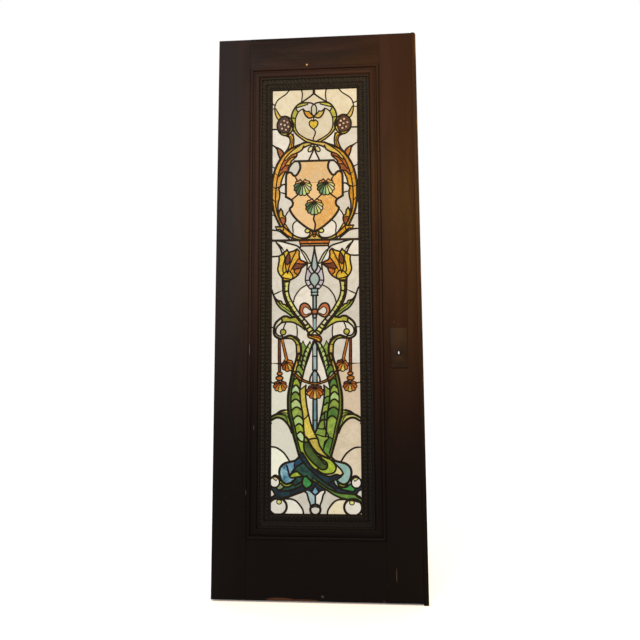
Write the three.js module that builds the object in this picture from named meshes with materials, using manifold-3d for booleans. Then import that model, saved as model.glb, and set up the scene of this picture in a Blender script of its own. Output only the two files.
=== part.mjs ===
// A dark hardwood entrance door with one tall light of leaded stained glass.
// Millimetres, +Z up. X runs from the hinge edge to the lock edge and +Y points to the plain back face.
// The origin is the middle hinge seat on the hinge edge, which carries the door.
import * as THREE from "three";
import { mergeVertices } from "three/addons/utils/BufferGeometryUtils.js";
import Module from "manifold-3d";

const wasm = await Module();
wasm.setup();

// Driving sizes of the joinery
const clearance = 0.3;
const door = { width: 889, height: 2438, thickness: 44.5 };
const hingeStileWidth = 144.5;
const lockStileWidth = 144.5;
const edgeStrip = { width: 20.5, above: 3, below: 8, cornerRadius: 12 };
const topRailHeight = 140;
const bottomRailHeight = 240;

// Driving sizes of the mouldings round the light
const moulding = {
  width: 47.5,
  beadWidth: 15,
  beadHeight: 8,
  quirkWidth: 2.5,
  quirkHeight: 1.5,
  ogeeHeight: 6,
  innerSlope: 8,
  innerDepth: 3,
};
const band = {
  width: 50,
  fillet: 5,
  step: 2,
  coveWidth: 17,
  coveDepth: 7,
  torusWidth: 22,
  torusHeight: 5,
  sightDepth: 13,
  backDepth: 18,
};

// Driving sizes of the glazing
const glazing = { cameDepth: 2.2, glassThickness: 3, hidden: 9, edgeRoom: 1 };
const panelBar = { height: 10, aboveSight: 1167.5 };
const bead = { faceDepth: 41, chamfer: 9, lip: 3.5, overSight: 1.5 };
const saddleBar = { diameter: 7, seat: 14, count: 2 };
const came = { crown: 12.8, thick: 8, main: 5.5, thin: 4.6, border: 3.2 };
const leadCurve = { frontTolerance: 3.4, backTolerance: 5, sharpTurn: 1.2, tightTurn: 0.8, trim: 0.2 };

// Driving sizes of the ironmongery
const lockPlate = {
  width: 72,
  height: 172,
  thickness: 2.5,
  centreUp: 1028,
  fromLockEdge: 100.5,
  edgeGap: 0.8,
};
const keyhole = { width: 10, height: 16, up: 1008 };
const nail = {
  headDiameter: 10,
  headHeight: 3.2,
  shankDiameter: 3,
  length: 22,
  fromHingeEdge: 402,
  overOpening: 8,
};
const hinge = { seatHeight: 102, seatWidth: 34, seatDepth: 2.5, topDown: 230, bottomUp: 330 };

// Faces of the joinery worked out from those sizes, in door coordinates:
// x from the hinge edge, y back from the front face, z up from the foot
const opening = {
  x0: hingeStileWidth,
  x1: door.width - edgeStrip.width - lockStileWidth,
  z0: bottomRailHeight,
  z1: door.height - topRailHeight,
};
const inset = (r, d) => ({ x0: r.x0 + d, x1: r.x1 - d, z0: r.z0 + d, z1: r.z1 - d });
const mouldingOuter = inset(opening, clearance);
const bandOuter = inset(opening, moulding.width + clearance);
const sight = inset(opening, moulding.width + band.width);
const panel = inset(sight, -glazing.hidden);
const mouldingWidth = moulding.width - clearance;
const bandWidth = band.width - clearance;

const frontCame = { y0: band.backDepth + clearance };
frontCame.y1 = frontCame.y0 + glazing.cameDepth;
const glass = { y0: frontCame.y1 + clearance };
glass.y1 = glass.y0 + glazing.glassThickness;
const backCame = { y0: glass.y1 + clearance };
backCame.y1 = backCame.y0 + glazing.cameDepth;
const beadSeat = backCame.y1 + clearance;
const panelBarZ = sight.z0 + panelBar.aboveSight;

const hingeZ = {
  bottom: hinge.bottomUp,
  middle: (hinge.bottomUp + door.height - hinge.topDown) / 2,
  top: door.height - hinge.topDown,
};
const lockX = door.width - lockPlate.fromLockEdge;

// Finishes
const finish = {
  wood: new THREE.MeshStandardMaterial({ color: 0x3a2419, roughness: 0.5 }),
  darkWood: new THREE.MeshStandardMaterial({ color: 0x22241c, roughness: 0.5 }),
  glass: new THREE.MeshStandardMaterial({ color: 0xdccfb4, roughness: 0.2 }),
  lead: new THREE.MeshStandardMaterial({ color: 0x2a2c2e, roughness: 0.6, metalness: 0.4 }),
  steel: new THREE.MeshStandardMaterial({ color: 0x3b3a38, roughness: 0.5, metalness: 0.8 }),
  plate: new THREE.MeshStandardMaterial({ color: 0x3c281c, roughness: 0.45 }),
  iron: new THREE.MeshStandardMaterial({ color: 0x6a5a48, roughness: 0.4, metalness: 0.8 }),
};

// Solids: a closed three.js geometry as a manifold, and back
function toSolid(geometry) {
  const plain = geometry.index ? geometry.toNonIndexed() : geometry.clone();
  plain.deleteAttribute("normal");
  plain.deleteAttribute("uv");
  const merged = mergeVertices(plain, 1e-4);
  return new wasm.Manifold(
    new wasm.Mesh({
      numProp: 3,
      vertProperties: merged.attributes.position.array,
      triVerts: new Uint32Array(merged.index.array),
    }),
  );
}

function toGeometry(solid) {
  const mesh = solid.getMesh();
  const geometry = new THREE.BufferGeometry();
  geometry.setAttribute("position", new THREE.BufferAttribute(mesh.vertProperties, 3));
  geometry.setIndex(new THREE.BufferAttribute(mesh.triVerts, 1));
  const flat = geometry.toNonIndexed();
  flat.computeVertexNormals();
  return flat;
}

const box = (x0, x1, y0, y1, z0, z1) =>
  new THREE.BoxGeometry(x1 - x0, y1 - y0, z1 - z0).translate((x0 + x1) / 2, (y0 + y1) / 2, (z0 + z1) / 2);

// A shape drawn in x and z, run through the door's thickness from y0 to y1
function throughShape(shape, y0, y1, curveSegments) {
  const geometry = new THREE.ExtrudeGeometry(shape, { depth: y1 - y0, bevelEnabled: false, curveSegments });
  return geometry.rotateX(Math.PI / 2).translate(0, y1, 0);
}

// A closed prism between two loops of points that match one to one, from a section that runs anticlockwise
function prism(section, startLoop, endLoop) {
  const caps = THREE.ShapeUtils.triangulateShape(section, []);
  const n = section.length;
  const triangles = [];
  for (const [a, b, c] of caps) {
    triangles.push([startLoop[a], startLoop[c], startLoop[b]]);
    triangles.push([endLoop[a], endLoop[b], endLoop[c]]);
  }
  for (let i = 0; i < n; i++) {
    const j = (i + 1) % n;
    triangles.push([startLoop[i], startLoop[j], endLoop[j]]);
    triangles.push([startLoop[i], endLoop[j], endLoop[i]]);
  }
  let volume = 0;
  for (const [a, b, c] of triangles) volume += a.dot(b.clone().cross(c)) / 6;
  const facing = volume < 0 ? ([a, b, c]) => [a, c, b] : (t) => t;
  const geometry = new THREE.BufferGeometry().setFromPoints(triangles.flatMap(facing));
  geometry.computeVertexNormals();
  return geometry;
}

// One mitred member of a frame: the section's x is the distance in from the frame's outer edge
// and its y is the depth behind the front face
function mitredMember(side, frame, section) {
  const room = clearance * Math.SQRT1_2;
  const upright = side === "left" || side === "right";
  const [from, to] = upright ? [frame.z0, frame.z1] : [frame.x0, frame.x1];
  const across = {
    left: (t) => frame.x0 + t,
    right: (t) => frame.x1 - t,
    bottom: (t) => frame.z0 + t,
    top: (t) => frame.z1 - t,
  }[side];
  const at = (t, depth, along) =>
    upright ? new THREE.Vector3(across(t), depth, along) : new THREE.Vector3(along, depth, across(t));
  const startLoop = section.map((p) => at(p.x, p.y, from + p.x + room));
  const endLoop = section.map((p) => at(p.x, p.y, to - p.x - room));
  return prism(section, startLoop, endLoop);
}

// The outer moulding: a bead, a quirk, a low ogee and a slope down to the carved band
function mouldingSection() {
  const points = [new THREE.Vector2(0, door.thickness), new THREE.Vector2(0, 0)];
  const beadSteps = 8;
  for (let i = 1; i < beadSteps; i++) {
    const angle = (Math.PI * i) / beadSteps;
    const t = (moulding.beadWidth / 2) * (1 - Math.cos(angle));
    const rise = moulding.beadHeight * Math.sin(angle) + (moulding.quirkHeight * i) / beadSteps;
    points.push(new THREE.Vector2(t, -rise));
  }
  const ogeeStart = moulding.beadWidth + moulding.quirkWidth;
  const ogeeEnd = mouldingWidth - moulding.innerSlope;
  points.push(new THREE.Vector2(moulding.beadWidth, -moulding.quirkHeight));
  points.push(new THREE.Vector2(ogeeStart, -moulding.quirkHeight));
  const ogeeSteps = 6;
  for (let i = 1; i <= ogeeSteps; i++) {
    const share = i / ogeeSteps;
    const swell = Math.sin((Math.PI * Math.min(share * 1.25, 1)) / 2) - 0.2 * share * share;
    const rise = moulding.quirkHeight + (moulding.ogeeHeight - moulding.quirkHeight) * swell;
    points.push(new THREE.Vector2(ogeeStart + (ogeeEnd - ogeeStart) * share, -rise));
  }
  points.push(new THREE.Vector2(mouldingWidth, moulding.innerDepth));
  points.push(new THREE.Vector2(mouldingWidth, door.thickness));
  return points;
}

// The carved band: a fillet, a cove, a torus and a fillet at the sight edge
function bandSection() {
  const front = moulding.innerDepth + clearance;
  const points = [new THREE.Vector2(0, band.backDepth), new THREE.Vector2(0, front)];
  points.push(new THREE.Vector2(band.fillet, front));
  const coveSteps = 5;
  for (let i = 0; i <= coveSteps; i++) {
    const angle = ((Math.PI / 2) * i) / coveSteps;
    const t = band.fillet + band.coveWidth * (1 - Math.cos(angle));
    points.push(new THREE.Vector2(t, front + band.step + band.coveDepth * Math.sin(angle)));
  }
  const torusStart = band.fillet + band.coveWidth + band.step;
  const torusSteps = 8;
  for (let i = 0; i <= torusSteps; i++) {
    const angle = (Math.PI * i) / torusSteps;
    const t = torusStart + (band.torusWidth / 2) * (1 - Math.cos(angle));
    points.push(new THREE.Vector2(t, band.sightDepth - band.torusHeight * Math.sin(angle)));
  }
  points.push(new THREE.Vector2(bandWidth, band.sightDepth));
  points.push(new THREE.Vector2(bandWidth, band.backDepth));
  return points;
}

// The back bead: rebated over the panel's edge and chamfered towards the light
function beadSection() {
  const pocket = bandWidth - glazing.hidden - glazing.edgeRoom;
  const reach = bandWidth - bead.overSight;
  const y0 = band.backDepth + clearance;
  return [
    [0, bead.faceDepth],
    [0, y0],
    [pocket, y0],
    [pocket, beadSeat],
    [reach, beadSeat],
    [reach, beadSeat + bead.lip],
    [reach - bead.chamfer, bead.faceDepth],
  ].map(([t, depth]) => new THREE.Vector2(t, depth));
}

const root = new THREE.Group();
const slab = new THREE.Group();
slab.position.set(-hinge.seatDepth, hinge.seatWidth / 2 - door.thickness, -hingeZ.middle);
root.add(slab);

function piece(name, geometry, material) {
  const mesh = new THREE.Mesh(geometry, material);
  mesh.name = name;
  slab.add(mesh);
}

// The frame of stiles and rails
function keyholeShape() {
  const shape = new THREE.Shape();
  shape.absellipse(lockX, keyhole.up, keyhole.width / 2, keyhole.height / 2, 0, 2 * Math.PI);
  return shape;
}
const keyholeCut = (y0, y1) => toSolid(throughShape(keyholeShape(), y0, y1, 8));

function makeHingeStile() {
  let stile = toSolid(box(0, hingeStileWidth, 0, door.thickness, 0, door.height));
  for (const z of Object.values(hingeZ)) {
    const y0 = door.thickness - hinge.seatWidth;
    const half = hinge.seatHeight / 2;
    const seat = box(-1, hinge.seatDepth, y0, door.thickness + 1, z - half, z + half);
    stile = stile.subtract(toSolid(seat));
  }
  piece("hinge_stile", toGeometry(stile), finish.wood);
}

const plateRect = {
  x0: lockX - lockPlate.width / 2,
  x1: lockX + lockPlate.width / 2,
  z0: lockPlate.centreUp - lockPlate.height / 2,
  z1: lockPlate.centreUp + lockPlate.height / 2,
};

function makeLockStile() {
  const x1 = opening.x1 + lockStileWidth;
  const recess = inset(plateRect, -lockPlate.edgeGap);
  let stile = toSolid(box(opening.x1, x1, 0, door.thickness, 0, door.height));
  const seat = box(recess.x0, recess.x1, -1, lockPlate.thickness + clearance, recess.z0, recess.z1);
  stile = stile.subtract(toSolid(seat));
  stile = stile.subtract(keyholeCut(-1, door.thickness + 1));
  piece("lock_stile", toGeometry(stile), finish.wood);
}

function makeLockPlate() {
  const plate = box(plateRect.x0, plateRect.x1, 0, lockPlate.thickness, plateRect.z0, plateRect.z1);
  const cut = toSolid(plate).subtract(keyholeCut(-1, lockPlate.thickness + 1));
  piece("lock_plate", toGeometry(cut), finish.plate);
}

function makeEdgeStrip() {
  const x0 = opening.x1 + lockStileWidth + clearance;
  const z1 = door.height + edgeStrip.above;
  const r = edgeStrip.cornerRadius;
  const outline = new THREE.Shape();
  outline.moveTo(x0, -edgeStrip.below);
  outline.lineTo(door.width, -edgeStrip.below);
  outline.lineTo(door.width, z1 - r);
  outline.absarc(door.width - r, z1 - r, r, 0, Math.PI / 2, false);
  outline.lineTo(x0, z1);
  outline.closePath();
  piece("lock_edge_strip", throughShape(outline, 0, door.thickness, 8), finish.wood);
}

const nailAt = { x: nail.fromHingeEdge, z: opening.z1 + nail.overOpening };

function makeRails() {
  const x0 = opening.x0 + clearance;
  const x1 = opening.x1 - clearance;
  piece("bottom_rail", box(x0, x1, 0, door.thickness, 0, opening.z0), finish.wood);
  const rail = toSolid(box(x0, x1, 0, door.thickness, opening.z1, door.height));
  const r = nail.shankDiameter / 2 + clearance;
  const drill = new THREE.CylinderGeometry(r, r, nail.length * 2, 12);
  const hole = toSolid(drill.translate(nailAt.x, clearance, nailAt.z));
  piece("top_rail", toGeometry(rail.subtract(hole)), finish.wood);
}

function makeNail() {
  const r = nail.headDiameter / 2;
  const profile = [new THREE.Vector2(0, -nail.length + nail.headHeight)];
  profile.push(new THREE.Vector2(nail.shankDiameter / 2, -nail.length + nail.headHeight));
  profile.push(new THREE.Vector2(nail.shankDiameter / 2, clearance));
  const steps = 4;
  for (let i = 0; i < steps; i++) {
    const angle = ((Math.PI / 2) * i) / steps;
    profile.push(new THREE.Vector2(r * Math.cos(angle), clearance + nail.headHeight * Math.sin(angle)));
  }
  profile.push(new THREE.Vector2(0, clearance + nail.headHeight));
  const turned = new THREE.LatheGeometry(profile, 8).rotateX(Math.PI);
  piece("top_rail_nail", turned.translate(nailAt.x, 0, nailAt.z), finish.iron);
}

// Mouldings, carved band and back beads, each of four mitred members
const sides = ["left", "right", "bottom", "top"];
const barZ = Array.from({ length: saddleBar.count }, (_, i) => {
  return sight.z0 + ((panelBarZ - sight.z0) * (i + 1)) / (saddleBar.count + 1);
});
const barY = beadSeat + saddleBar.diameter / 2;

function makeMitredFrames() {
  for (const side of sides) {
    piece(`moulding_${side}`, mitredMember(side, mouldingOuter, mouldingSection()), finish.wood);
    piece(`carved_band_${side}`, mitredMember(side, bandOuter, bandSection()), finish.darkWood);
    let member = toSolid(mitredMember(side, bandOuter, beadSection()));
    if (side === "left" || side === "right") {
      const inner = side === "left" ? sight.x0 : sight.x1;
      const r = saddleBar.diameter / 2 + clearance;
      for (const z of barZ) {
        const reach = saddleBar.seat;
        const notch = box(inner - reach, inner + reach, barY - r - 1, barY + r, z - r, z + r);
        member = member.subtract(toSolid(notch));
      }
    }
    piece(`glazing_bead_${side}`, toGeometry(member), finish.darkWood);
  }
}

function makeBars() {
  const half = panelBar.height / 2;
  const bar = box(panel.x0, panel.x1, frontCame.y0, backCame.y1, panelBarZ - half, panelBarZ + half);
  piece("panel_joint_bar", bar, finish.lead);
  const length = sight.x1 - sight.x0 + 2 * (saddleBar.seat - clearance);
  barZ.forEach((z, i) => {
    const r = saddleBar.diameter / 2;
    const rod = new THREE.CylinderGeometry(r, r, length, 12).rotateZ(Math.PI / 2);
    rod.translate((sight.x0 + sight.x1) / 2, barY, z);
    piece(`saddle_bar_${i + 1}`, rod, finish.steel);
  });
}

// The leaded design. It is drawn full size on its own sheet, x from the door's middle line and z from
// the foot, and the sheet's frame is laid on the sight opening.
const sheet = { x0: -199.5, x1: 181.5, z0: 343, z1: 2189, axis: -12 };
function place([x, z]) {
  const across = (sight.x1 - sight.x0) / (sheet.x1 - sheet.x0);
  const up = (sight.z1 - sight.z0) / (sheet.z1 - sheet.z0);
  return new THREE.Vector2(sight.x0 + (x - sheet.x0) * across, sight.z0 + (z - sheet.z0) * up);
}
const mirrored = ([x, z]) => [2 * sheet.axis - x, z];

const strokes = [];
const bothFaces = true;
function line(width, points, back = false) {
  strokes.push({ width, points, closed: false, back });
}
function pair(width, points, back) {
  line(width, points, back);
  line(width, points.map(mirrored), back);
}
function ring(width, cx, cz, rx, rz) {
  const steps = 10;
  const points = Array.from({ length: steps }, (_, i) => {
    const angle = (2 * Math.PI * i) / steps;
    return [cx + rx * Math.cos(angle), cz + rz * Math.sin(angle)];
  });
  strokes.push({ width, points, closed: true, back: false });
}
function ringPair(width, cx, cz, rx, rz) {
  ring(width, cx, cz, rx, rz);
  ring(width, mirrored([cx, cz])[0], cz, rx, rz);
}

function heartLoop() {
  line(came.crown, [[-12, 2200], [-12, 2160]], bothFaces);
  pair(came.thick, [
    [-12, 2168], [-27, 2157], [-57, 2136], [-87, 2117], [-107, 2087], [-113, 2055],
    [-108, 2010], [-95, 1985], [-62, 1955], [-37, 1942], [-12, 1934],
  ], bothFaces);
  pair(came.main, [
    [-60, 2098], [-84, 2085], [-99, 2055], [-99, 2010], [-92, 1992], [-62, 1965],
    [-12, 1948],
  ]);
  pair(came.main, [[-74, 2128], [-37, 2125], [-12, 2119]]);
  pair(came.thin, [[-92, 2097], [-62, 2112], [-22, 2110]]);
  ring(came.thin, -12, 2093, 12, 26);
  pair(came.main, [[-60, 2098], [-56, 2082], [-39, 2059], [-20, 2066]]);
  pair(came.thin, [[-12, 2041], [-32, 2025], [-28, 2012], [-12, 2004]]);
  line(came.thin, [[-12, 2067], [-12, 2036]]);
  line(came.thin, [[-12, 2008], [-5, 1990], [-8, 1972], [-12, 1934]]);
  pair(came.thin, [
    [-123, 2200], [-137, 2171], [-172, 2146], [-188, 2118], [-188, 2100], [-178, 2064],
    [-166, 2056],
  ]);
  pair(came.thin, [[-72, 2200], [-64, 2177], [-68, 2130]]);
  pair(came.main, [[-208, 2129], [-187, 2120]]);
}

function pomegranates() {
  pair(came.main, [[-143, 2067], [-160, 2058], [-177, 2024], [-165, 1992], [-143, 1977]]);
  pair(came.main, [[-143, 1977], [-117, 1990], [-103, 2022], [-120, 2056], [-143, 2067]]);
  pair(came.main, [[-208, 2007], [-176, 2007]]);
  pair(came.main, [[-137, 1977], [-118, 1954], [-129, 1912], [-150, 1888]]);
  pair(came.thin, [[-114, 1993], [-103, 1970], [-103, 1930]]);
  pair(came.thin, [[-208, 1944], [-184, 1924], [-146, 1894]]);
}

function wreathAndShield() {
  line(came.thick, [[-97, 1857], [73, 1857]], bothFaces);
  pair(came.thin, [[-12, 1934], [-20, 1900], [-35, 1857]]);
  pair(came.main, [
    [-37, 1942], [-82, 1931], [-129, 1907], [-155, 1878], [-187, 1825], [-199, 1765],
    [-199, 1685], [-186, 1612], [-160, 1562],
  ], bothFaces);
  pair(came.main, [[-92, 1857], [-112, 1842], [-128, 1806]]);
  pair(came.main, [
    [-78, 1857], [-75, 1825], [-92, 1792], [-110, 1800], [-130, 1803], [-136, 1777],
    [-137, 1696], [-112, 1680], [-107, 1656], [-118, 1640], [-104, 1610], [-62, 1567],
    [-12, 1540],
  ], bothFaces);
  ringPair(came.main, -63, 1740, 37, 36);
  ring(came.main, -12, 1652, 37, 36);
  line(came.main, [[-28, 1757], [4, 1757]]);
  pair(came.main, [[-92, 1762], [-108, 1800]]);
  pair(came.main, [[-50, 1707], [-28, 1683]]);
  pair(came.main, [[-90, 1714], [-114, 1684]]);
  line(came.main, [[-10, 1618], [-15, 1590], [-8, 1566], [-12, 1540], [-12, 1505]], bothFaces);
  pair(came.main, [[-208, 1842], [-187, 1825]]);
  pair(came.main, [[-208, 1738], [-137, 1740]]);
  pair(came.main, [[-208, 1615], [-186, 1612], [-150, 1640], [-107, 1660]]);
  pair(came.thin, [[-160, 1562], [-142, 1590], [-118, 1634]]);
  pair(came.main, [[-160, 1562], [-129, 1545], [-94, 1517], [-60, 1509], [-32, 1527], [-12, 1540]]);
  pair(came.thin, [[-208, 1552], [-160, 1540], [-122, 1505]]);
  pair(came.thin, [[-87, 1590], [-107, 1562], [-104, 1520]]);
}

function tabletAndSpear() {
  pair(came.main, [[-12, 1473], [-74, 1473], [-82, 1508]], bothFaces);
  line(came.thin, [[-78, 1484], [54, 1484]]);
  pair(came.main, [[-12, 1473], [-15, 1445], [-24, 1385], [-12, 1356]], bothFaces);
  pair(came.main, [[-12, 1356], [-32, 1325], [-19, 1300], [-21, 1270], [-19, 1205]], bothFaces);
  for (const z of [1281, 1262]) line(came.thin, [[-21, z], [-3, z]]);
  pair(came.thin, [[-74, 1460], [-52, 1445], [-20, 1400]]);
  pair(came.main, [[-74, 1473], [-86, 1462]]);
}

function tulipsAndStalks() {
  pair(came.main, [
    [-86, 1462], [-79, 1428], [-57, 1408], [-42, 1393], [-69, 1375], [-94, 1337],
    [-125, 1327], [-157, 1340], [-172, 1370], [-167, 1427], [-150, 1438], [-132, 1457],
    [-120, 1430], [-104, 1444], [-86, 1462],
  ], bothFaces);
  pair(came.main, [[-42, 1393], [-49, 1345], [-52, 1305], [-87, 1270], [-105, 1222]]);
  pair(came.main, [[-187, 1510], [-164, 1472], [-152, 1438]]);
  pair(came.main, [[-208, 1431], [-179, 1430], [-152, 1438]]);
  pair(came.thick, [
    [-148, 1332], [-146, 1265], [-129, 1220], [-92, 1165], [-72, 1140], [-50, 1112],
    [-34, 1086],
  ], bothFaces);
  pair(came.main, [[-119, 1328], [-125, 1277], [-109, 1230], [-72, 1170], [-37, 1132], [-22, 1090]]);
  pair(came.thin, [[-146, 1290], [-124, 1290]]);
  pair(came.thin, [[-141, 1245], [-117, 1250]]);
  pair(came.thin, [[-120, 1205], [-98, 1210]]);
  pair(came.main, [[-208, 1292], [-190, 1260], [-162, 1222], [-127, 1216]]);
  pair(came.thin, [[-190, 1260], [-157, 1200], [-96, 1168]]);
  pair(came.main, [[-24, 1200], [-39, 1217], [-64, 1222], [-76, 1190], [-58, 1163], [-24, 1176]]);
  ring(came.main, -12, 1186, 13, 20);
}

function scrollsAndTie() {
  pair(came.thick, [
    [-86, 1160], [-117, 1160], [-147, 1166], [-177, 1142], [-188, 1100], [-172, 1075],
    [-134, 1081], [-107, 1080], [-77, 1064], [-71, 1015], [-76, 985],
  ], bothFaces);
  pair(came.main, [
    [-66, 1133], [-97, 1137], [-137, 1142], [-157, 1137], [-176, 1110], [-165, 1086],
    [-150, 1078],
  ]);
  pair(came.main, [[-208, 1120], [-186, 1118]]);
  ring(came.main, -12, 1070, 30, 15);
  pair(came.main, [[-19, 1168], [-19, 1083]], bothFaces);
  pair(came.main, [[-172, 1077], [-168, 1000], [-163, 935], [-160, 900]]);
  pair(came.thin, [[-150, 1078], [-112, 1070], [-90, 1040], [-88, 1000]]);
  pair(came.main, [[-19, 1057], [-19, 878]], bothFaces);
  pair(came.thin, [[-28, 1058], [-46, 1030], [-60, 995], [-44, 990]]);
}

function garlandAndShells() {
  pair(came.main, [[-163, 940], [-124, 935], [-82, 900], [-42, 880], [-24, 872]]);
  ringPair(came.main, -129, 958, 23, 25);
  ring(came.main, -12, 847, 34, 30);
  ringPair(came.main, -160, 871, 29, 21);
  pair(came.main, [[-208, 965], [-152, 965]]);
  pair(came.main, [[-208, 887], [-184, 882]]);
  pair(came.thick, [
    [-76, 985], [-100, 955], [-117, 885], [-126, 820], [-126, 765], [-114, 715], [-95, 640],
    [-80, 580],
  ], bothFaces);
  pair(came.main, [
    [-37, 1000], [-60, 940], [-76, 885], [-82, 830], [-68, 780], [-56, 720], [-40, 672],
    [-12, 640],
  ]);
  pair(came.thin, [[-126, 830], [-100, 838], [-82, 830]]);
  pair(came.thin, [[-125, 760], [-92, 772], [-68, 780]]);
  pair(came.thin, [[-114, 715], [-84, 722], [-56, 720]]);
  pair(came.main, [[-19, 818], [-19, 690], [-12, 676]]);
  line(came.main, [[-12, 684], [-12, 640]]);
}

function finsAndTails() {
  pair(came.main, [[-126, 770], [-162, 762], [-208, 730]]);
  pair(came.main, [[-208, 716], [-177, 737], [-147, 730], [-112, 690]]);
  pair(came.main, [[-208, 616], [-162, 606], [-121, 561]]);
  line(came.thick, [[-95, 640], [-37, 635], [-4, 592], [46, 570], [56, 580]]);
  line(came.main, [[-12, 640], [18, 602], [48, 575]]);
  line(came.main, [[71, 640], [40, 615], [18, 602]]);
  line(came.main, [[-4, 592], [-37, 596], [-80, 580]]);
  pair(came.main, [
    [-80, 580], [-94, 560], [-137, 550], [-161, 525], [-154, 482], [-129, 466], [-104, 478],
    [-100, 510], [-60, 495], [-12, 530],
  ]);
  ring(came.main, 38, 532, 36, 25);
  line(came.main, [[-60, 582], [-42, 555], [-12, 530], [4, 530]]);
  line(came.main, [[-60, 495], [-64, 460], [-32, 457], [-12, 470], [40, 440], [113, 407], [195, 386]]);
  pair(came.main, [[-104, 478], [-107, 462], [-142, 455], [-170, 500]]);
  pair(came.main, [[-208, 445], [-180, 420], [-208, 400]]);
  pair(came.thick, [[-52, 440], [-87, 427], [-137, 410], [-208, 398]], bothFaces);
  ringPair(came.main, -168, 374, 36, 36);
  pair(came.main, [[-142, 404], [-112, 404], [-75, 378], [-61, 335]]);
  pair(came.main, [[-60, 437], [-40, 402], [-31, 372]]);
  pair(came.main, [[-12, 470], [-28, 436], [-12, 420]]);
  line(came.main, [[-12, 420], [-12, 383]]);
  ring(came.main, -12, 364, 21, 21);
  pair(came.main, [[-180, 420], [-168, 409]]);
}

// Polylines from the strokes: a smooth curve, thinned to the points that its shape needs
function thin(points, tolerance) {
  if (points.length < 3) return points;
  const a = points[0];
  const b = points[points.length - 1];
  const chord = b.clone().sub(a);
  let worst = 0;
  let at = 0;
  points.forEach((p, i) => {
    const off = p.clone().sub(a);
    const far = chord.length() > 1e-6 ? Math.abs(chord.cross(off)) / chord.length() : off.length();
    if (far > worst) [worst, at] = [far, i];
  });
  if (worst <= tolerance) return [a, b];
  return [...thin(points.slice(0, at + 1), tolerance).slice(0, -1), ...thin(points.slice(at), tolerance)];
}

// The runs of a polyline between its corners that turn by more than an angle
function runsBetweenCorners(points, turn) {
  const heading = (i) => points[i + 1].clone().sub(points[i]).normalize();
  const runs = [[points[0]]];
  for (let i = 1; i < points.length; i++) {
    runs[runs.length - 1].push(points[i]);
    if (i < points.length - 1 && heading(i - 1).dot(heading(i)) < Math.cos(turn)) runs.push([points[i]]);
  }
  return runs;
}

// A stroke's polylines: smooth curves between its sharp corners, parted again where they bend tightly
function polylines(stroke, tolerance) {
  const points = stroke.points.map(place);
  if (stroke.closed || points.length === 2) return [points];
  return runsBetweenCorners(points, leadCurve.sharpTurn).flatMap((run) => {
    if (run.length === 2) return [run];
    const smooth = thin(new THREE.SplineCurve(run).getPoints((run.length - 1) * 8), tolerance);
    return runsBetweenCorners(smooth, leadCurve.tightTurn);
  });
}

// A flat strip of lead that follows a polyline, or closes on itself
function strip(points, width, closed, y0, y1) {
  const n = points.length;
  const sideways = points.map((p, i) => {
    const before = closed || i > 0 ? p.clone().sub(points[(i - 1 + n) % n]).normalize() : null;
    const after = closed || i < n - 1 ? points[(i + 1) % n].clone().sub(p).normalize() : null;
    const along = (before ?? after).clone().add(after ?? before).normalize();
    const spread = Math.min(1 / Math.max(along.dot(before ?? after), 0.1), 1.6);
    return new THREE.Vector2(-along.y, along.x).multiplyScalar((width / 2) * spread);
  });
  const left = points.map((p, i) => p.clone().add(sideways[i]));
  const right = points.map((p, i) => p.clone().sub(sideways[i]));
  const corner = (p, y) => new THREE.Vector3(p.x, y, p.y);
  const quad = (a, b, c, d) => [a, b, c, a, c, d];
  const soup = [];
  for (let i = 0; i < (closed ? n : n - 1); i++) {
    const j = (i + 1) % n;
    soup.push(...quad(corner(left[i], y0), corner(left[j], y0), corner(right[j], y0), corner(right[i], y0)));
    soup.push(...quad(corner(left[i], y1), corner(right[i], y1), corner(right[j], y1), corner(left[j], y1)));
    soup.push(...quad(corner(left[i], y0), corner(left[i], y1), corner(left[j], y1), corner(left[j], y0)));
    soup.push(...quad(corner(right[i], y0), corner(right[j], y0), corner(right[j], y1), corner(right[i], y1)));
  }
  if (!closed) {
    const e = n - 1;
    soup.push(...quad(corner(left[0], y0), corner(right[0], y0), corner(right[0], y1), corner(left[0], y1)));
    soup.push(...quad(corner(left[e], y0), corner(left[e], y1), corner(right[e], y1), corner(right[e], y0)));
  }
  const geometry = new THREE.BufferGeometry().setFromPoints(soup);
  const solid = toSolid(geometry);
  if (solid.volume() > 0) return solid;
  for (let i = 0; i < soup.length; i += 3) [soup[i + 1], soup[i + 2]] = [soup[i + 2], soup[i + 1]];
  return toSolid(new THREE.BufferGeometry().setFromPoints(soup));
}

// The closed outlines of a flat solid's front face, from the edges that only one of its triangles has
function outlines(solid, y0) {
  const mesh = solid.getMesh();
  const v = mesh.vertProperties;
  const onFace = (i) => Math.abs(v[3 * i + 1] - y0) < 1e-3;
  const next = new Map();
  for (let t = 0; t < mesh.triVerts.length; t += 3) {
    const corners = [...mesh.triVerts.slice(t, t + 3)];
    if (!corners.every(onFace)) continue;
    corners.forEach((a, k) => next.set(`${a},${corners[(k + 1) % 3]}`, [a, corners[(k + 1) % 3]]));
  }
  const follow = new Map();
  for (const [a, b] of next.values()) {
    if (!next.has(`${b},${a}`)) follow.set(a, [...(follow.get(a) ?? []), b]);
  }
  const loops = [];
  while (follow.size) {
    const loop = [];
    let at = follow.keys().next().value;
    while (follow.has(at)) {
      loop.push(new THREE.Vector2(v[3 * at], v[3 * at + 2]));
      const [onward, ...others] = follow.get(at);
      if (others.length) follow.set(at, others);
      else follow.delete(at);
      at = onward;
    }
    loops.push(loop);
  }
  return loops;
}

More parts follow.
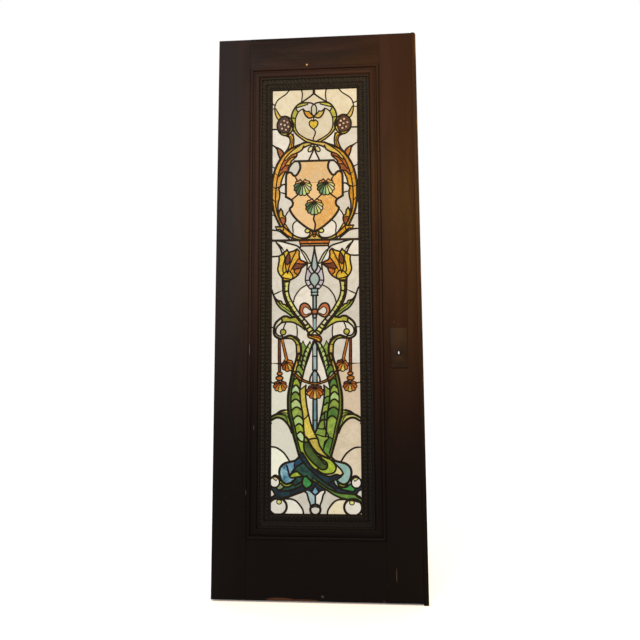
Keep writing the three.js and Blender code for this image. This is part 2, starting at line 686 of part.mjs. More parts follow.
// A closed loop with only the corners that its shape needs
function thinLoop(loop, tolerance) {
  const farthest = (from, points) =>
    points.reduce((best, p, i) => (p.distanceTo(from) > points[best].distanceTo(from) ? i : best), 0);
  const middle = loop.reduce((sum, p) => sum.add(p), new THREE.Vector2()).divideScalar(loop.length);
  const start = farthest(middle, loop);
  const turned = [...loop.slice(start), ...loop.slice(0, start)];
  const far = farthest(turned[0], turned);
  const out = thin(turned.slice(0, far + 1), tolerance);
  const home = thin([...turned.slice(far), turned[0]], tolerance);
  return [...out.slice(0, -1), ...home.slice(0, -1)];
}

// The leadwork of one panel on one face: a border round the edge and every stroke that crosses the panel
function leadwork(z0, z1, layer, tolerance, wanted) {
  const rim = { x0: sight.x0 + came.border, x1: sight.x1 - came.border };
  rim.z0 = z0 === panel.z0 ? sight.z0 + came.border : z0 + came.border;
  rim.z1 = z1 === panel.z1 ? sight.z1 - came.border : z1 - came.border;
  const sheetBox = toSolid(box(panel.x0, panel.x1, layer.y0, layer.y1, z0, z1));
  let lead = sheetBox.subtract(toSolid(box(rim.x0, rim.x1, layer.y0 - 1, layer.y1 + 1, rim.z0, rim.z1)));
  for (const stroke of strokes.filter(wanted)) {
    for (const points of polylines(stroke, tolerance)) {
      const inside = strip(points, stroke.width, stroke.closed, layer.y0, layer.y1).intersect(sheetBox);
      if (inside.volume() > 0) lead = lead.add(inside);
    }
  }
  const joined = lead.decompose().sort((a, b) => b.volume() - a.volume())[0];
  const area = (loop) => THREE.ShapeUtils.area(loop);
  const holes = outlines(joined, layer.y0).filter((loop) => area(loop) < -came.main * came.main);
  let plate = sheetBox;
  for (const hole of holes) {
    const loop = thinLoop(hole, leadCurve.trim).reverse();
    const at = (y) => loop.map((p) => new THREE.Vector3(p.x, y, p.y));
    plate = plate.subtract(toSolid(prism(loop, at(layer.y0 - 1), at(layer.y1 + 1))));
  }
  return toGeometry(plate);
}

function makeGlazing() {
  const half = panelBar.height / 2 + clearance;
  const panels = { lower: [panel.z0, panelBarZ - half], upper: [panelBarZ + half, panel.z1] };
  for (const [name, [z0, z1]] of Object.entries(panels)) {
    piece(`glass_${name}`, box(panel.x0, panel.x1, glass.y0, glass.y1, z0, z1), finish.glass);
    const front = leadwork(z0, z1, frontCame, leadCurve.frontTolerance, () => true);
    piece(`cames_front_${name}`, front, finish.lead);
    const back = leadwork(z0, z1, backCame, leadCurve.backTolerance, (s) => s.back);
    piece(`cames_back_${name}`, back, finish.lead);
  }
}

heartLoop();
pomegranates();
wreathAndShield();
tabletAndSpear();
tulipsAndStalks();
scrollsAndTie();
garlandAndShells();
finsAndTails();

makeHingeStile();
makeLockStile();
makeEdgeStrip();
makeRails();
makeLockPlate();
makeNail();
makeMitredFrames();
makeBars();
makeGlazing();

export default root;
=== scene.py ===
# The looks of a dark hardwood entrance door with a tall light of leaded stained glass.
# Metres, +Z up. The moulded face looks towards -Y and the origin is the middle hinge seat.
import math
import random

import bmesh
import bpy
import numpy as np
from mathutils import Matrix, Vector, geometry


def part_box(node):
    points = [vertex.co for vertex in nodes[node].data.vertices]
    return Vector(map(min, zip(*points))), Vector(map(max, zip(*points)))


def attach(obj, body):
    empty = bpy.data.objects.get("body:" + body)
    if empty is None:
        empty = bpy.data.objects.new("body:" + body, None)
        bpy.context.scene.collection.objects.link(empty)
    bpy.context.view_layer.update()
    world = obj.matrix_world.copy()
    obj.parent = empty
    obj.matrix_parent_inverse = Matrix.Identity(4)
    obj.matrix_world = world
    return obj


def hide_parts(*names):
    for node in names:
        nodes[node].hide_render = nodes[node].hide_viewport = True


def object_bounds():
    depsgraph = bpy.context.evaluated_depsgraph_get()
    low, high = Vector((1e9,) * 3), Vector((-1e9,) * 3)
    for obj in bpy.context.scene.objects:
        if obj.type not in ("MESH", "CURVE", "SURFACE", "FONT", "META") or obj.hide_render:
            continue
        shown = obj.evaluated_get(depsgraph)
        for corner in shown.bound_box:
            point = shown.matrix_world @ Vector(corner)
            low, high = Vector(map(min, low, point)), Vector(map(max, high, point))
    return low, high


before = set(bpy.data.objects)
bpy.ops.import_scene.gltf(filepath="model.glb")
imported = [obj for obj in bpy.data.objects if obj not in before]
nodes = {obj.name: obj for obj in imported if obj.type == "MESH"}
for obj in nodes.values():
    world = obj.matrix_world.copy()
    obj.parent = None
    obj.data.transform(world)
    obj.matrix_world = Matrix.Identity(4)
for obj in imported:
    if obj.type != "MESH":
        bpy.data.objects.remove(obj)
cad_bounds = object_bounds()

MM = 0.001


def edges_of(member, outer):
    """The outer or the inner edges of four members round the light."""
    first, last = (0, 1) if outer else (1, 0)
    return {
        "x0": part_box(member + "_left")[first].x,
        "x1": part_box(member + "_right")[last].x,
        "z0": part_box(member + "_bottom")[first].z,
        "z1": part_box(member + "_top")[last].z,
    }


# Places read from the solids
SIDES = ("left", "right", "bottom", "top")
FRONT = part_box("hinge_stile")[0].y
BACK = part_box("hinge_stile")[1].y
LOCK_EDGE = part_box("lock_edge_strip")[1].x
OPENING = edges_of("moulding", True)
BAND_EDGE = edges_of("carved_band", True)
SIGHT = edges_of("carved_band", False)
GLASS_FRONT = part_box("glass_lower")[0].y
GLASS_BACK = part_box("glass_lower")[1].y
LEAD_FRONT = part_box("cames_front_lower")[0].y
LEAD_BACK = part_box("cames_back_lower")[1].y


# Colours
def screen(r, g, b):
    """A colour as a screen shows it, 0 to 255, in the shader's linear values."""

    def linear(c):
        c = c / 255
        return c / 12.92 if c <= 0.04045 else ((c + 0.055) / 1.055) ** 2.4

    return (linear(r), linear(g), linear(b), 1.0)


# Shader graphs
class Sum:
    """A socket on which shader maths is written as an expression."""

    def __init__(self, finish, socket):
        self.finish = finish
        self.socket = socket

    def maths(self, operation, *values, clamp=False):
        inputs = dict(enumerate((self, *values)))
        settings = {"operation": operation, "use_clamp": clamp}
        return self.finish.node("ShaderNodeMath", settings, inputs)

    def __add__(self, other):
        return self.maths("ADD", other)

    __radd__ = __add__

    def __sub__(self, other):
        return self.maths("SUBTRACT", other)

    def __rsub__(self, other):
        return (self * -1) + other

    def __mul__(self, other):
        return self.maths("MULTIPLY", other)

    __rmul__ = __mul__

    def __truediv__(self, other):
        return self.maths("DIVIDE", other)

    def held(self):
        """Kept between 0 and 1."""
        return self.maths("ADD", 0.0, clamp=True)

    def most(self, other):
        return self.maths("MAXIMUM", other)

    def step(self, low, high):
        """0 below low, 1 above high and smooth between; high may be the lower one."""
        inputs = {"Value": self, "From Min": low, "From Max": high}
        return self.finish.node("ShaderNodeMapRange", {"interpolation_type": "SMOOTHSTEP"}, inputs)


class Finish:
    """One material: its shader, and node() for every other node."""

    def __init__(self, name, **uniform):
        self.material = bpy.data.materials.new(name)
        self.material.use_nodes = True
        self.tree = self.material.node_tree
        self.shader = self.tree.nodes["Principled BSDF"]
        for socket, value in uniform.items():
            self.shader.inputs[socket.replace("_", " ")].default_value = value

    def node(self, kind, settings=None, inputs=None, output=0):
        made = self.tree.nodes.new(kind)
        for key, value in (settings or {}).items():
            setattr(made, key, value)
        for key, value in (inputs or {}).items():
            self.feed(made.inputs[key], value)
        return Sum(self, made.outputs[output])

    def feed(self, socket, value):
        if isinstance(value, Sum):
            self.tree.links.new(value.socket, socket)
        else:
            socket.default_value = value

    def place(self):
        return self.node("ShaderNodeTexCoord", output="Object")

    def axes(self):
        return [self.part(self.place(), axis) for axis in range(3)]

    def stretched(self, scale, turn=(0, 0, 0)):
        inputs = {"Vector": self.place(), "Scale": scale, "Rotation": turn}
        return self.node("ShaderNodeMapping", None, inputs)

    def noise(self, vector, scale, detail=3.0, rough=0.55, warp=0.0):
        inputs = {"Vector": vector, "Scale": scale, "Detail": detail, "Roughness": rough, "Distortion": warp}
        return self.node("ShaderNodeTexNoise", {"noise_dimensions": "3D"}, inputs)

    def part(self, vector, axis):
        return self.node("ShaderNodeSeparateXYZ", None, {"Vector": vector}, axis)

    def mix(self, share, first, second, blend="MIX"):
        settings = {"data_type": "RGBA", "blend_type": blend, "clamp_factor": True}
        inputs = {0: share, 6: first, 7: second}
        return self.node("ShaderNodeMix", settings, inputs, 2)

    def put(self, **values):
        for socket, value in values.items():
            self.feed(self.shader.inputs[socket.replace("_", " ")], value)

    def bump(self, height, strength, depth):
        inputs = {"Height": height, "Strength": strength, "Distance": depth}
        self.put(Normal=self.node("ShaderNodeBump", None, inputs))


BLACK = (0, 0, 0, 1)
# Painted reflection and shade over the door: a warm painted reflection towards the lock side, a cool painted
# reflection towards the hinge side and painted shade that turns the wood nearly black towards the bottom.
# Each gives the axis, where that starts and where it is full, in metres, how strong it is and its colour
SHEEN_AND_SHADE_TURNS = (
    (0, 0.5, 0.9, 0.6, screen(36, 20, 6)),
    (0, 0.22, 0.03, 0.75, screen(22, 21, 23)),
    (2, 0.05, -0.9, 0.95, screen(4, 2, 2)),
)
# The carved band's painted shade: nearly black towards the bottom
BAND_SHADE_TURN = (2, -0.2, -0.95, 0.75, screen(4, 4, 4))
PORE_COLOUR = (0.002, 0.0014, 0.0012, 1)
SCUFF_COLOUR = screen(116, 96, 80)
# Worn varnish and a painted highlight along the lock edge's front arris
WORN_AND_LIT_ARRIS_COLOUR = screen(120, 88, 44)
GLINT_COLOUR = (0.5, 0.5, 0.36, 1)
ARRIS_WIDTH = 7 * MM
ARRIS_DEPTH = 6 * MM


def grain_scale(along, across, lengthways):
    """Noise scales for wood whose grain runs along x or z."""
    return (lengthways, across, across) if along == "x" else (across, across, lengthways)


def turned(f, colour, axis, start, full, strength, shade):
    return f.mix(f.part(f.place(), axis).step(start, full) * strength, colour, shade)


def marked(f, colour, marks):
    """Scratches, chips and rubbed spots, each an oval at its own place on the front."""
    x, y, z = f.axes()
    facing = y.step(FRONT + 6 * MM, FRONT + 4 * MM)
    ragged = f.noise(f.place(), 320.0, 3.0, 0.65) * 1.2
    for at_x, at_z, wide, high, shade in marks:
        across = (x - at_x * MM) / (wide * MM)
        along = (z - at_z * MM) / (high * MM)
        reach = across * across + along * along + ragged
        colour = f.mix(reach.step(1.7, 1.2) * facing, colour, shade)
    return colour


def make_wood(name, along, dark, brown, edge_wear_and_highlight=0.0, marks=()):
    """Dark stained hardwood under a worn satin varnish, with painted reflection and painted shade over the
    door and, where edge wear is given, worn varnish and a painted highlight on the lock edge's arris; the
    grain runs along x or z.
    """
    f = Finish(name, Specular_IOR_Level=0.045)
    figure = f.noise(f.stretched(grain_scale(along, 9, 0.8)), 1.0, 5.0, 0.55, 0.7)
    streaks = f.noise(f.stretched(grain_scale(along, 130, 3.2)), 1.0, 4.0, 0.6, 0.3)
    pores = f.noise(f.stretched(grain_scale(along, 1500, 46)), 1.0, 2.0, 0.5).step(0.57, 0.68)
    clouds = f.noise(f.place(), 3.1, 3.0, 0.5, 0.4)
    rubs = f.noise(f.place(), 26.0, 5.0, 0.7, 0.8)
    colour = f.mix(figure.step(0.36, 0.66), dark, brown)
    warm = [min(1.0, c * 1.55) for c in brown[:3]] + [1.0]
    colour = f.mix(streaks.step(0.52, 0.78) * 0.55, colour, warm)
    colour = f.mix(pores * 0.6, colour, PORE_COLOUR)
    colour = f.mix(clouds.step(0.55, 0.8) * 0.35, colour, dark)
    # painted reflection and painted shade, by where the wood lies on the door
    for turn in SHEEN_AND_SHADE_TURNS:
        colour = turned(f, colour, *turn)
    scuffs = f.noise(f.stretched(grain_scale(along, 420, 17), (0, 0.06, 0)), 1.0, 3.0, 0.7)
    scuffed = scuffs.step(0.69, 0.78) * rubs.step(0.55, 0.72)
    colour = f.mix(scuffed * 0.5, colour, SCUFF_COLOUR)
    rough = 0.36 + clouds * 0.12 + streaks * 0.1 + scuffed * 0.2
    # pale patches on the lock edge's front arris: worn varnish and a painted highlight along it
    if edge_wear_and_highlight:
        x, y, z = f.axes()
        side = (x - (LOCK_EDGE - ARRIS_WIDTH)).step(0, 6 * MM)
        arris = side * (y - (FRONT + ARRIS_DEPTH)).step(0, -5 * MM)
        patches = f.noise(f.stretched((90, 90, 9)), 1.0, 5.0, 0.65).step(0.5, 0.64)
        worn_and_lit = (arris * patches * (z * 0.5 + 0.75).held() * edge_wear_and_highlight).held()
        colour = f.mix(worn_and_lit, colour, WORN_AND_LIT_ARRIS_COLOUR)
        rough = rough + worn_and_lit * 0.1
    if marks:
        colour = marked(f, colour, marks)
    f.put(Base_Color=colour, Roughness=rough)
    f.bump(streaks * 0.5 - pores * 0.7 + rubs * 0.35 + figure * 0.25, 0.32, 0.7 * MM)
    return f.material


def make_carved_wood():
    """The nearly black carved band: stain and old polish gathered in the hollows, and painted shade that
    darkens it towards the bottom.
    """
    f = Finish("carved_wood", Specular_IOR_Level=0.06)
    grime = f.noise(f.place(), 70.0, 5.0, 0.65, 0.5)
    clouds = f.noise(f.place(), 8.0, 3.0)
    tips = f.node("ShaderNodeNewGeometry", output="Pointiness").step(0.5, 0.6)
    colour = f.mix(grime.step(0.35, 0.7), screen(8, 8, 7), screen(19, 17, 12))
    colour = f.mix(tips * 0.4, colour, screen(36, 31, 20))
    colour = f.mix(clouds.step(0.5, 0.75) * 0.4, colour, screen(18, 15, 14))
    # painted shade towards the bottom
    colour = turned(f, colour, *BAND_SHADE_TURN)
    f.put(Base_Color=colour, Roughness=0.36 + grime * 0.22)
    f.bump(grime + clouds * 0.4, 0.35, 0.5 * MM)
    return f.material


def make_lead():
    """Oxidised lead, dull and nearly black with brighter rubbed backs."""
    f = Finish("lead", Metallic=0.2, Specular_IOR_Level=0.08)
    patches = f.noise(f.place(), 130.0, 4.0, 0.6)
    fine = f.noise(f.place(), 900.0, 3.0, 0.6)
    colour = f.mix(patches.step(0.4, 0.7), screen(11, 9, 6), screen(26, 21, 13))
    f.put(Base_Color=colour, Roughness=0.42 + patches * 0.2)
    f.bump(patches + fine * 0.5, 0.4, 0.3 * MM)
    return f.material


def make_steel():
    """Old dark paint with rusty flecks, on the saddle bars."""
    f = Finish("painted_steel", Metallic=0.3)
    flecks = f.noise(f.place(), 220.0, 4.0, 0.6)
    colour = f.mix(flecks.step(0.5, 0.7), screen(42, 40, 37), screen(78, 62, 48))
    f.put(Base_Color=colour, Roughness=0.5 + flecks * 0.15)
    f.bump(flecks, 0.4, 0.3 * MM)
    return f.material


def make_plate():
    """A let-in metal plate painted over with the door's stain, paler than the wood round it, with painted
    shadow along its left and bottom edges.
    """
    f = Finish("stained_plate", Specular_IOR_Level=0.06)
    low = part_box("lock_plate")[0]
    x, _, z = f.axes()
    # painted shadow: darker along the plate's left edge and its bottom edge
    shade = (x.step(low.x + 6 * MM, low.x) * 0.5).most(z.step(low.z + 9 * MM, low.z + 2 * MM) * 0.8)
    brush = f.noise(f.stretched((260, 260, 12)), 1.0, 4.0, 0.6)
    clouds = f.noise(f.place(), 22.0, 4.0, 0.6, 0.5)
    colour = f.mix(clouds.step(0.35, 0.7), screen(22, 14, 8), screen(29, 19, 11))
    colour = f.mix(brush.step(0.58, 0.75) * 0.5, colour, screen(16, 10, 6))
    # the painted shadow along the left and bottom edges
    colour = f.mix(shade, colour, screen(8, 5, 3))
    f.put(Base_Color=colour, Roughness=0.36 + clouds * 0.2)
    f.bump(brush * 0.6 + clouds * 0.4, 0.3, 0.4 * MM)
    return f.material


def make_brass(name, dull, bright):
    """Tarnished brass with brighter rubbed patches."""
    f = Finish(name, Specular_IOR_Level=0.05)
    tarnish = f.noise(f.place(), 240.0, 4.0, 0.6, 0.4)
    f.put(Base_Color=f.mix(tarnish.step(0.4, 0.65), dull, bright), Roughness=0.3 + tarnish * 0.25)
    f.bump(tarnish, 0.3, 0.2 * MM)
    return f.material


def make_glass():
    """Opalescent sheet glass: each piece carries its own two colours, which run through it in streaks. It
    glows with them by emission, painted light that stands in for daylight coming through it.
    """
    # the emission is painted light: the glass glows as if lit from behind
    f = Finish("opalescent_glass", Specular_IOR_Level=0.1, Emission_Strength=0.76)
    tint = f.node("ShaderNodeAttribute", {"attribute_name": "tint"}, output="Color")
    streak = f.node("ShaderNodeAttribute", {"attribute_name": "streak"}, output="Color")
    offset = f.node("ShaderNodeAttribute", {"attribute_name": "cut"}, output="Vector")
    shifted = f.node("ShaderNodeVectorMath", {"operation": "ADD"}, {0: f.place(), 1: offset})
    swirl = f.noise(shifted, 22.0, 4.0, 0.55, 1.4)
    wisps = f.noise(shifted, 75.0, 4.0, 0.6, 1.8)
    ripple = f.noise(shifted, 190.0, 3.0, 0.6, 0.4)
    share = (swirl.step(0.36, 0.66) * 0.75 + wisps.step(0.45, 0.7) * 0.3).held()
    colour = f.mix(share, tint, streak)
    depth = f.node("ShaderNodeSeparateColor", {"mode": "HSV"}, {"Color": tint}, 1)
    glint = f.noise(shifted, 70.0, 4.0, 0.7, 1.2).step(0.5, 0.66)
    mottled = (depth * 2.2 - 1.2).held()
    colour = f.mix(glint * mottled, colour, GLINT_COLOUR, "DODGE")
    grain = ripple.step(0.3, 0.7) * (mottled * 0.36 + 0.1)
    colour = f.mix(grain, colour, BLACK)
    # a nearly black base and the colours in Emission: the glass shows its painted backlight whatever the
    # lamps do
    f.put(Base_Color=f.mix(0.9, colour, BLACK), Emission_Color=colour, Roughness=0.24 + swirl * 0.14)
    f.bump(ripple + wisps * 1.5, 0.5, 0.5 * MM)
    return f.material


WOOD_DARK = screen(12, 7, 6)
WOOD_BROWN = screen(28, 17, 13)
PALE_MARK = screen(66, 58, 50)
WORN_MARK = screen(54, 35, 22)
DARK_MARK = screen(5, 4, 4)
GREY_MARK = screen(52, 50, 50)
# Each mark's x and z, its half width and half height, all in millimetres, and its shade
UPRIGHT_MARKS = (
    (151.5, -243.5, 1.0, 28, PALE_MARK),
    (171.6, -573, 1.0, 11, PALE_MARK),
    (139.2, -840, 1.0, 11, PALE_MARK),
    (759, -1161, 1.0, 29, PALE_MARK),
    (656.5, 113.8, 2.2, 2.4, DARK_MARK),
    (767.2, -131.4, 1.6, 1.6, PALE_MARK),
    (783.9, -140.1, 1.6, 1.6, PALE_MARK),
    (696.6, 216.1, 1.6, 1.6, PALE_MARK),
    (707.4, -1265, 3.5, 6, WORN_MARK),
)
LEVEL_MARKS = (
    (285, -1264, 60, 8, WORN_MARK),
    (385, -1265, 60, 4, WORN_MARK),
    (458, -1250, 15, 10, DARK_MARK),
    (458.5, -1249, 5.6, 4.4, GREY_MARK),
    (707.4, -1265, 3.5, 6, WORN_MARK),
)
upright_wood = make_wood("upright_wood", "z", WOOD_DARK, WOOD_BROWN, marks=UPRIGHT_MARKS)
level_wood = make_wood("level_wood", "x", WOOD_DARK, WOOD_BROWN, marks=LEVEL_MARKS)
# its 0.4 sets the worn varnish and painted highlight along the lock edge's front arris
edge_wood = make_wood("edge_wood", "z", screen(15, 11, 6), screen(29, 20, 10), 0.4)
carved_wood = make_carved_wood()
lead_metal = make_lead()
bar_steel = make_steel()
plate_metal = make_plate()
nail_brass = make_brass("nail_brass", screen(70, 54, 34), screen(190, 160, 110))
keyhole_brass = make_brass("keyhole_brass", screen(5, 3, 2), screen(20, 13, 7))
glowing_glass = make_glass()


# Making pieces
def new_piece(name, bm, material, sharp=35.0):
    """A finished object from a bmesh: smooth faces, with edges kept sharp where they turn far."""
    for face in bm.faces:
        face.smooth = True
    for edge in bm.edges:
        if len(edge.link_faces) == 2:
            edge.smooth = edge.calc_face_angle(0.0) < math.radians(sharp)
    mesh = bpy.data.meshes.new(name)
    bm.to_mesh(mesh)
    bm.free()
    mesh.materials.append(material)
    piece = bpy.data.objects.new(name, mesh)
    bpy.context.scene.collection.objects.link(piece)
    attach(piece, "root")
    return piece


def eased(node, radius, segments=2):
    """A copy of a solid with its corners eased."""
    flat, corner = math.radians(1), math.radians(40)
    bm = bmesh.new()
    bm.from_mesh(nodes[node].data)
    bmesh.ops.remove_doubles(bm, verts=bm.verts, dist=1e-6)
    bmesh.ops.dissolve_limit(bm, angle_limit=flat, verts=bm.verts, edges=bm.edges)
    corners = [e for e in bm.edges if len(e.link_faces) == 2 and e.calc_face_angle(0.0) > corner]
    bmesh.ops.bevel(
        bm, geom=corners, offset=radius, offset_type="OFFSET", affect="EDGES", segments=segments,
        profile=0.5, material=-1, clamp_overlap=True,
    )
    return bm


def replace_eased(node, radius, material, segments=2):
    piece = new_piece("shown_" + node, eased(node, radius, segments), material)
    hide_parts(node)


def finish_node(node, material):
    """A solid that shows as it is, with its own material."""
    nodes[node].data.materials.clear()
    nodes[node].data.materials.append(material)


replace_eased("hinge_stile", 1.4 * MM, upright_wood)
replace_eased("lock_stile", 0.5 * MM, upright_wood)
replace_eased("lock_edge_strip", 2.2 * MM, edge_wood, 3)
replace_eased("top_rail", 0.5 * MM, level_wood)
replace_eased("bottom_rail", 0.8 * MM, level_wood)
replace_eased("lock_plate", 0.4 * MM, plate_metal)


# Mitred members round the light
UPRIGHT = ("left", "right")
MITRE_GAP = 0.15 * MM


def member_at(side, edge, t, depth, along):
    """The point t in from the frame's outer edge, at a depth and a place along the member."""
    if side == "left":
        return Vector((edge["x0"] + t, depth, along))
    if side == "right":
        return Vector((edge["x1"] - t, depth, along))
    if side == "bottom":
        return Vector((along, depth, edge["z0"] + t))
    return Vector((along, depth, edge["z1"] - t))


def member_ends(side, edge):
    return (edge["z0"], edge["z1"]) if side in UPRIGHT else (edge["x0"], edge["x1"])


def sweep_member(side, edge, section):
    """A mitred length of moulding: its section drawn out from one mitre to the other."""
    start, end = member_ends(side, edge)
    bm = bmesh.new()
    outline = [bm.verts.new(member_at(side, edge, t, depth, start + t + MITRE_GAP)) for t, depth in section]
    face = bm.faces.new(outline)
    drawn = bmesh.ops.extrude_face_region(bm, geom=[face])
    far = [v for v in drawn["geom"] if isinstance(v, bmesh.types.BMVert)]
    axis = 2 if side in UPRIGHT else 0
    for vert in far:
        t = vert.co[axis] - start - MITRE_GAP
        vert.co[axis] = end - t - MITRE_GAP
    bmesh.ops.recalc_face_normals(bm, faces=bm.faces)
    return bm


# The moulding's section, from its outer edge inwards
BEAD = {"width": 15 * MM, "rise": 8 * MM, "steps": 18}
QUIRK = {"width": 2.5 * MM, "sunk": 0.9 * MM, "rise": 0.6 * MM}
OGEE = {"rise": 4.5 * MM, "end": 0.8, "steps": 16}
SLOPE = {"width": 8 * MM, "foot": 3 * MM, "steps": 6}
DIP = 1.5 * MM
BAND_PLAY = 0.3 * MM


def moulding_section():
    """A bead, a quirk, a low ogee and a slope down to the carved band."""
    wide = BAND_EDGE["x0"] - OPENING["x0"] - BAND_PLAY
    points = [(0.0, BACK), (0.0, FRONT)]
    for i in range(1, BEAD["steps"]):
        share = i / BEAD["steps"]
        angle = math.pi * share
        across = BEAD["width"] / 2 * (1 - math.cos(angle))
        points.append((across, FRONT - BEAD["rise"] * math.sin(angle) - DIP * share))
    start = BEAD["width"] + QUIRK["width"]
    end = wide - SLOPE["width"]
    points.append((BEAD["width"], FRONT - DIP + QUIRK["sunk"]))
    points.append((start, FRONT - DIP + QUIRK["sunk"]))
    points.append((start, FRONT - DIP - QUIRK["rise"]))
    for i in range(1, OGEE["steps"] + 1):
        share = i / OGEE["steps"]
        swell = math.sin(math.pi / 2 * min(share * 1.25, 1)) - (1 - OGEE["end"]) * share * share
        points.append((start + (end - start) * share, FRONT - DIP - OGEE["rise"] * swell))
    top = FRONT - DIP - OGEE["rise"] * OGEE["end"]
    for i in range(1, SLOPE["steps"] + 1):
        share = i / SLOPE["steps"]
        drop = 0.5 - 0.5 * math.cos(math.pi * share)
        points.append((end + SLOPE["width"] * share, top + (FRONT + SLOPE["foot"] - top) * drop))
    points.append((wide, BACK))
    return points


for side in SIDES:
    wood = upright_wood if side in UPRIGHT else level_wood
    moulding = sweep_member(side, OPENING, moulding_section())
    piece = new_piece("moulded_" + side, moulding, wood, sharp=28.0)
    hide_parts("moulding_" + side)
    finish_node("glazing_bead_" + side, wood)


# The carved band, measured inwards from its outer edge
FILLET = {"end": 5 * MM, "depth": FRONT + 3.3 * MM}
COVE = {"end": 22 * MM, "lip": 2 * MM, "depth": 7 * MM}
TORUS = {"start": 24 * MM, "width": 22 * MM, "rise": 5 * MM}
FLAT_DEPTH = FRONT + 13 * MM
BAND_BACK = FRONT + 18 * MM
LEAF = {"start": 6 * MM, "end": 21 * MM, "rise": 1.8, "rib": 0.7}
EGG = {"half_width": 0.33, "half_height": 0.78, "rise": 3.4, "husk": 1.9, "dart": 1.7, "sunk": 3.2}
PITCH = 17 * MM
CARVING_STEP = 1.55 * MM
CARVING_ROWS = 30


def arc(share):
    """How high a half circle stands at a share of its radius from the middle."""
    return math.sqrt(max(0.0, 1 - share * share))


def ridge(away, width):
    return math.exp(-(away / width) ** 2)


def band_depth(t):
    """The uncarved section: a fillet, a cove, a torus and a fillet at the sight edge."""
    if t < FILLET["end"]:
        return FILLET["depth"]
    if t < COVE["end"]:
        reach = 1 - (t - FILLET["end"]) / (COVE["end"] - FILLET["end"])
        return FILLET["depth"] + COVE["lip"] + COVE["depth"] * arc(reach)
    if t < TORUS["start"] or t > TORUS["start"] + TORUS["width"]:
        return FLAT_DEPTH
    across = (t - TORUS["start"]) / TORUS["width"] * 2 - 1
    return FLAT_DEPTH - TORUS["rise"] * arc(across)


def carving(t, turn):
    """How far the carving stands out: an egg in its husk with a dart between, and leaves up the cove."""
    u = turn - round(turn)
    if t > TORUS["start"] - 1 * MM:
        v = (t - TORUS["start"]) / TORUS["width"] * 2 - 1
        reach = math.hypot(u / EGG["half_width"], v / EGG["half_height"])
        egg = arc(reach) * EGG["rise"]
        husk = ridge(reach - 1.28, 0.14) * EGG["husk"]
        dart = ridge(abs(u) - 0.5, 0.05) * EGG["dart"] * max(0.0, 1 - abs(v))
        return (max(egg, husk, dart) - EGG["sunk"] * max(0.0, 1 - v * v)) * MM
    if LEAF["start"] < t < LEAF["end"]:
        s = (t - LEAF["start"]) / (LEAF["end"] - LEAF["start"])
        half_width = 0.16 + 0.26 * math.sin(math.pi * min(1, s * 0.8 + 0.1))
        blade = max(0.0, 1 - (u / half_width) ** 2)
        return (blade * LEAF["rise"] + ridge(u, 0.05) * LEAF["rib"]) * math.sin(math.pi * s) ** 0.5 * MM
    return 0.0


def carve_band(side):
    """A length of the band: a grid laid on its section and carved, then given walls and a back."""
    start, end = member_ends(side, BAND_EDGE)
    width = SIGHT["x0"] - BAND_EDGE["x0"]
    centre = TORUS["start"] + TORUS["width"] / 2
    length = end - start - 2 * centre
    pitch = length / round(length / PITCH)
    columns = int((end - start) / CARVING_STEP)
    bm = bmesh.new()
    bmesh.ops.create_grid(bm, x_segments=columns, y_segments=CARVING_ROWS, size=0.5)
    for vert in bm.verts:
        t = (vert.co.y + 0.5) * width
        low, high = start + t + MITRE_GAP, end - t - MITRE_GAP
        along = low + (vert.co.x + 0.5) * (high - low)
        turn = (along - start - centre) / pitch
        depth = band_depth(t) - carving(t, turn)
        vert.co = member_at(side, BAND_EDGE, t, depth, along)
    rim = [e for e in bm.edges if e.is_boundary]
    walls = bmesh.ops.extrude_edge_only(bm, edges=rim)
    for vert in walls["geom"]:
        if isinstance(vert, bmesh.types.BMVert):
            vert.co.y = BAND_BACK
    backs = [e for e in bm.edges if e.is_boundary]
    bmesh.ops.contextual_create(bm, geom=backs)
    bmesh.ops.recalc_face_normals(bm, faces=bm.faces)
    return bm


for side in SIDES:
    piece = new_piece("egg_carved_" + side, carve_band(side), carved_wood, sharp=50.0)
    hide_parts("carved_band_" + side)

for name, material in (
    ("panel_joint_bar", lead_metal),
    ("saddle_bar_1", bar_steel),
    ("saddle_bar_2", bar_steel),
    ("top_rail_nail", nail_brass),
):
    finish_node(name, material)


# The oval keyhole, and how far each ring of its lip lies outside it and stands off the plate
KEYHOLE = {
    "x": (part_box("lock_plate")[0].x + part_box("lock_plate")[1].x) / 2,
    "z": -261 * MM,
    "half_width": 5 * MM,
    "half_height": 8 * MM,
}
LIP_RINGS = ((-1.0 * MM, 0.4 * MM), (-0.2 * MM, 1.1 * MM), (5 * MM, 0.9 * MM), (5.6 * MM, 0.2 * MM))
LIP_SIDES = 40


def keyhole_rim():
    """A worn brass lip round the oval keyhole."""
    plate_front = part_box("lock_plate")[0].y
    bm = bmesh.new()
    rings = []
    for reach, lift in LIP_RINGS:
        rings.append([])
        for k in range(LIP_SIDES):
            angle = 2 * math.pi * k / LIP_SIDES
            x = KEYHOLE["x"] + (KEYHOLE["half_width"] + reach) * math.cos(angle)
            z = KEYHOLE["z"] + (KEYHOLE["half_height"] + reach) * math.sin(angle)
            rings[-1].append(bm.verts.new((x, plate_front - lift, z)))
    for low, top in zip(rings, rings[1:]):
        for k in range(LIP_SIDES):
            after = (k + 1) % LIP_SIDES
            bm.faces.new((low[k], low[after], top[after], top[k]))
    bmesh.ops.recalc_face_normals(bm, faces=bm.faces)
    return bm


new_piece("keyhole_lip", keyhole_rim(), keyhole_brass, sharp=60.0)


# The leaded design on its own sheet: millimetres, x from the door's middle and z from the foot
SHEET = {"x0": -199.5, "x1": 181.5, "z0": 343, "z1": 2189, "axis": -12}
CORNERS = (("x0", "z0"), ("x1", "z0"), ("x1", "z1"), ("x0", "z1"))
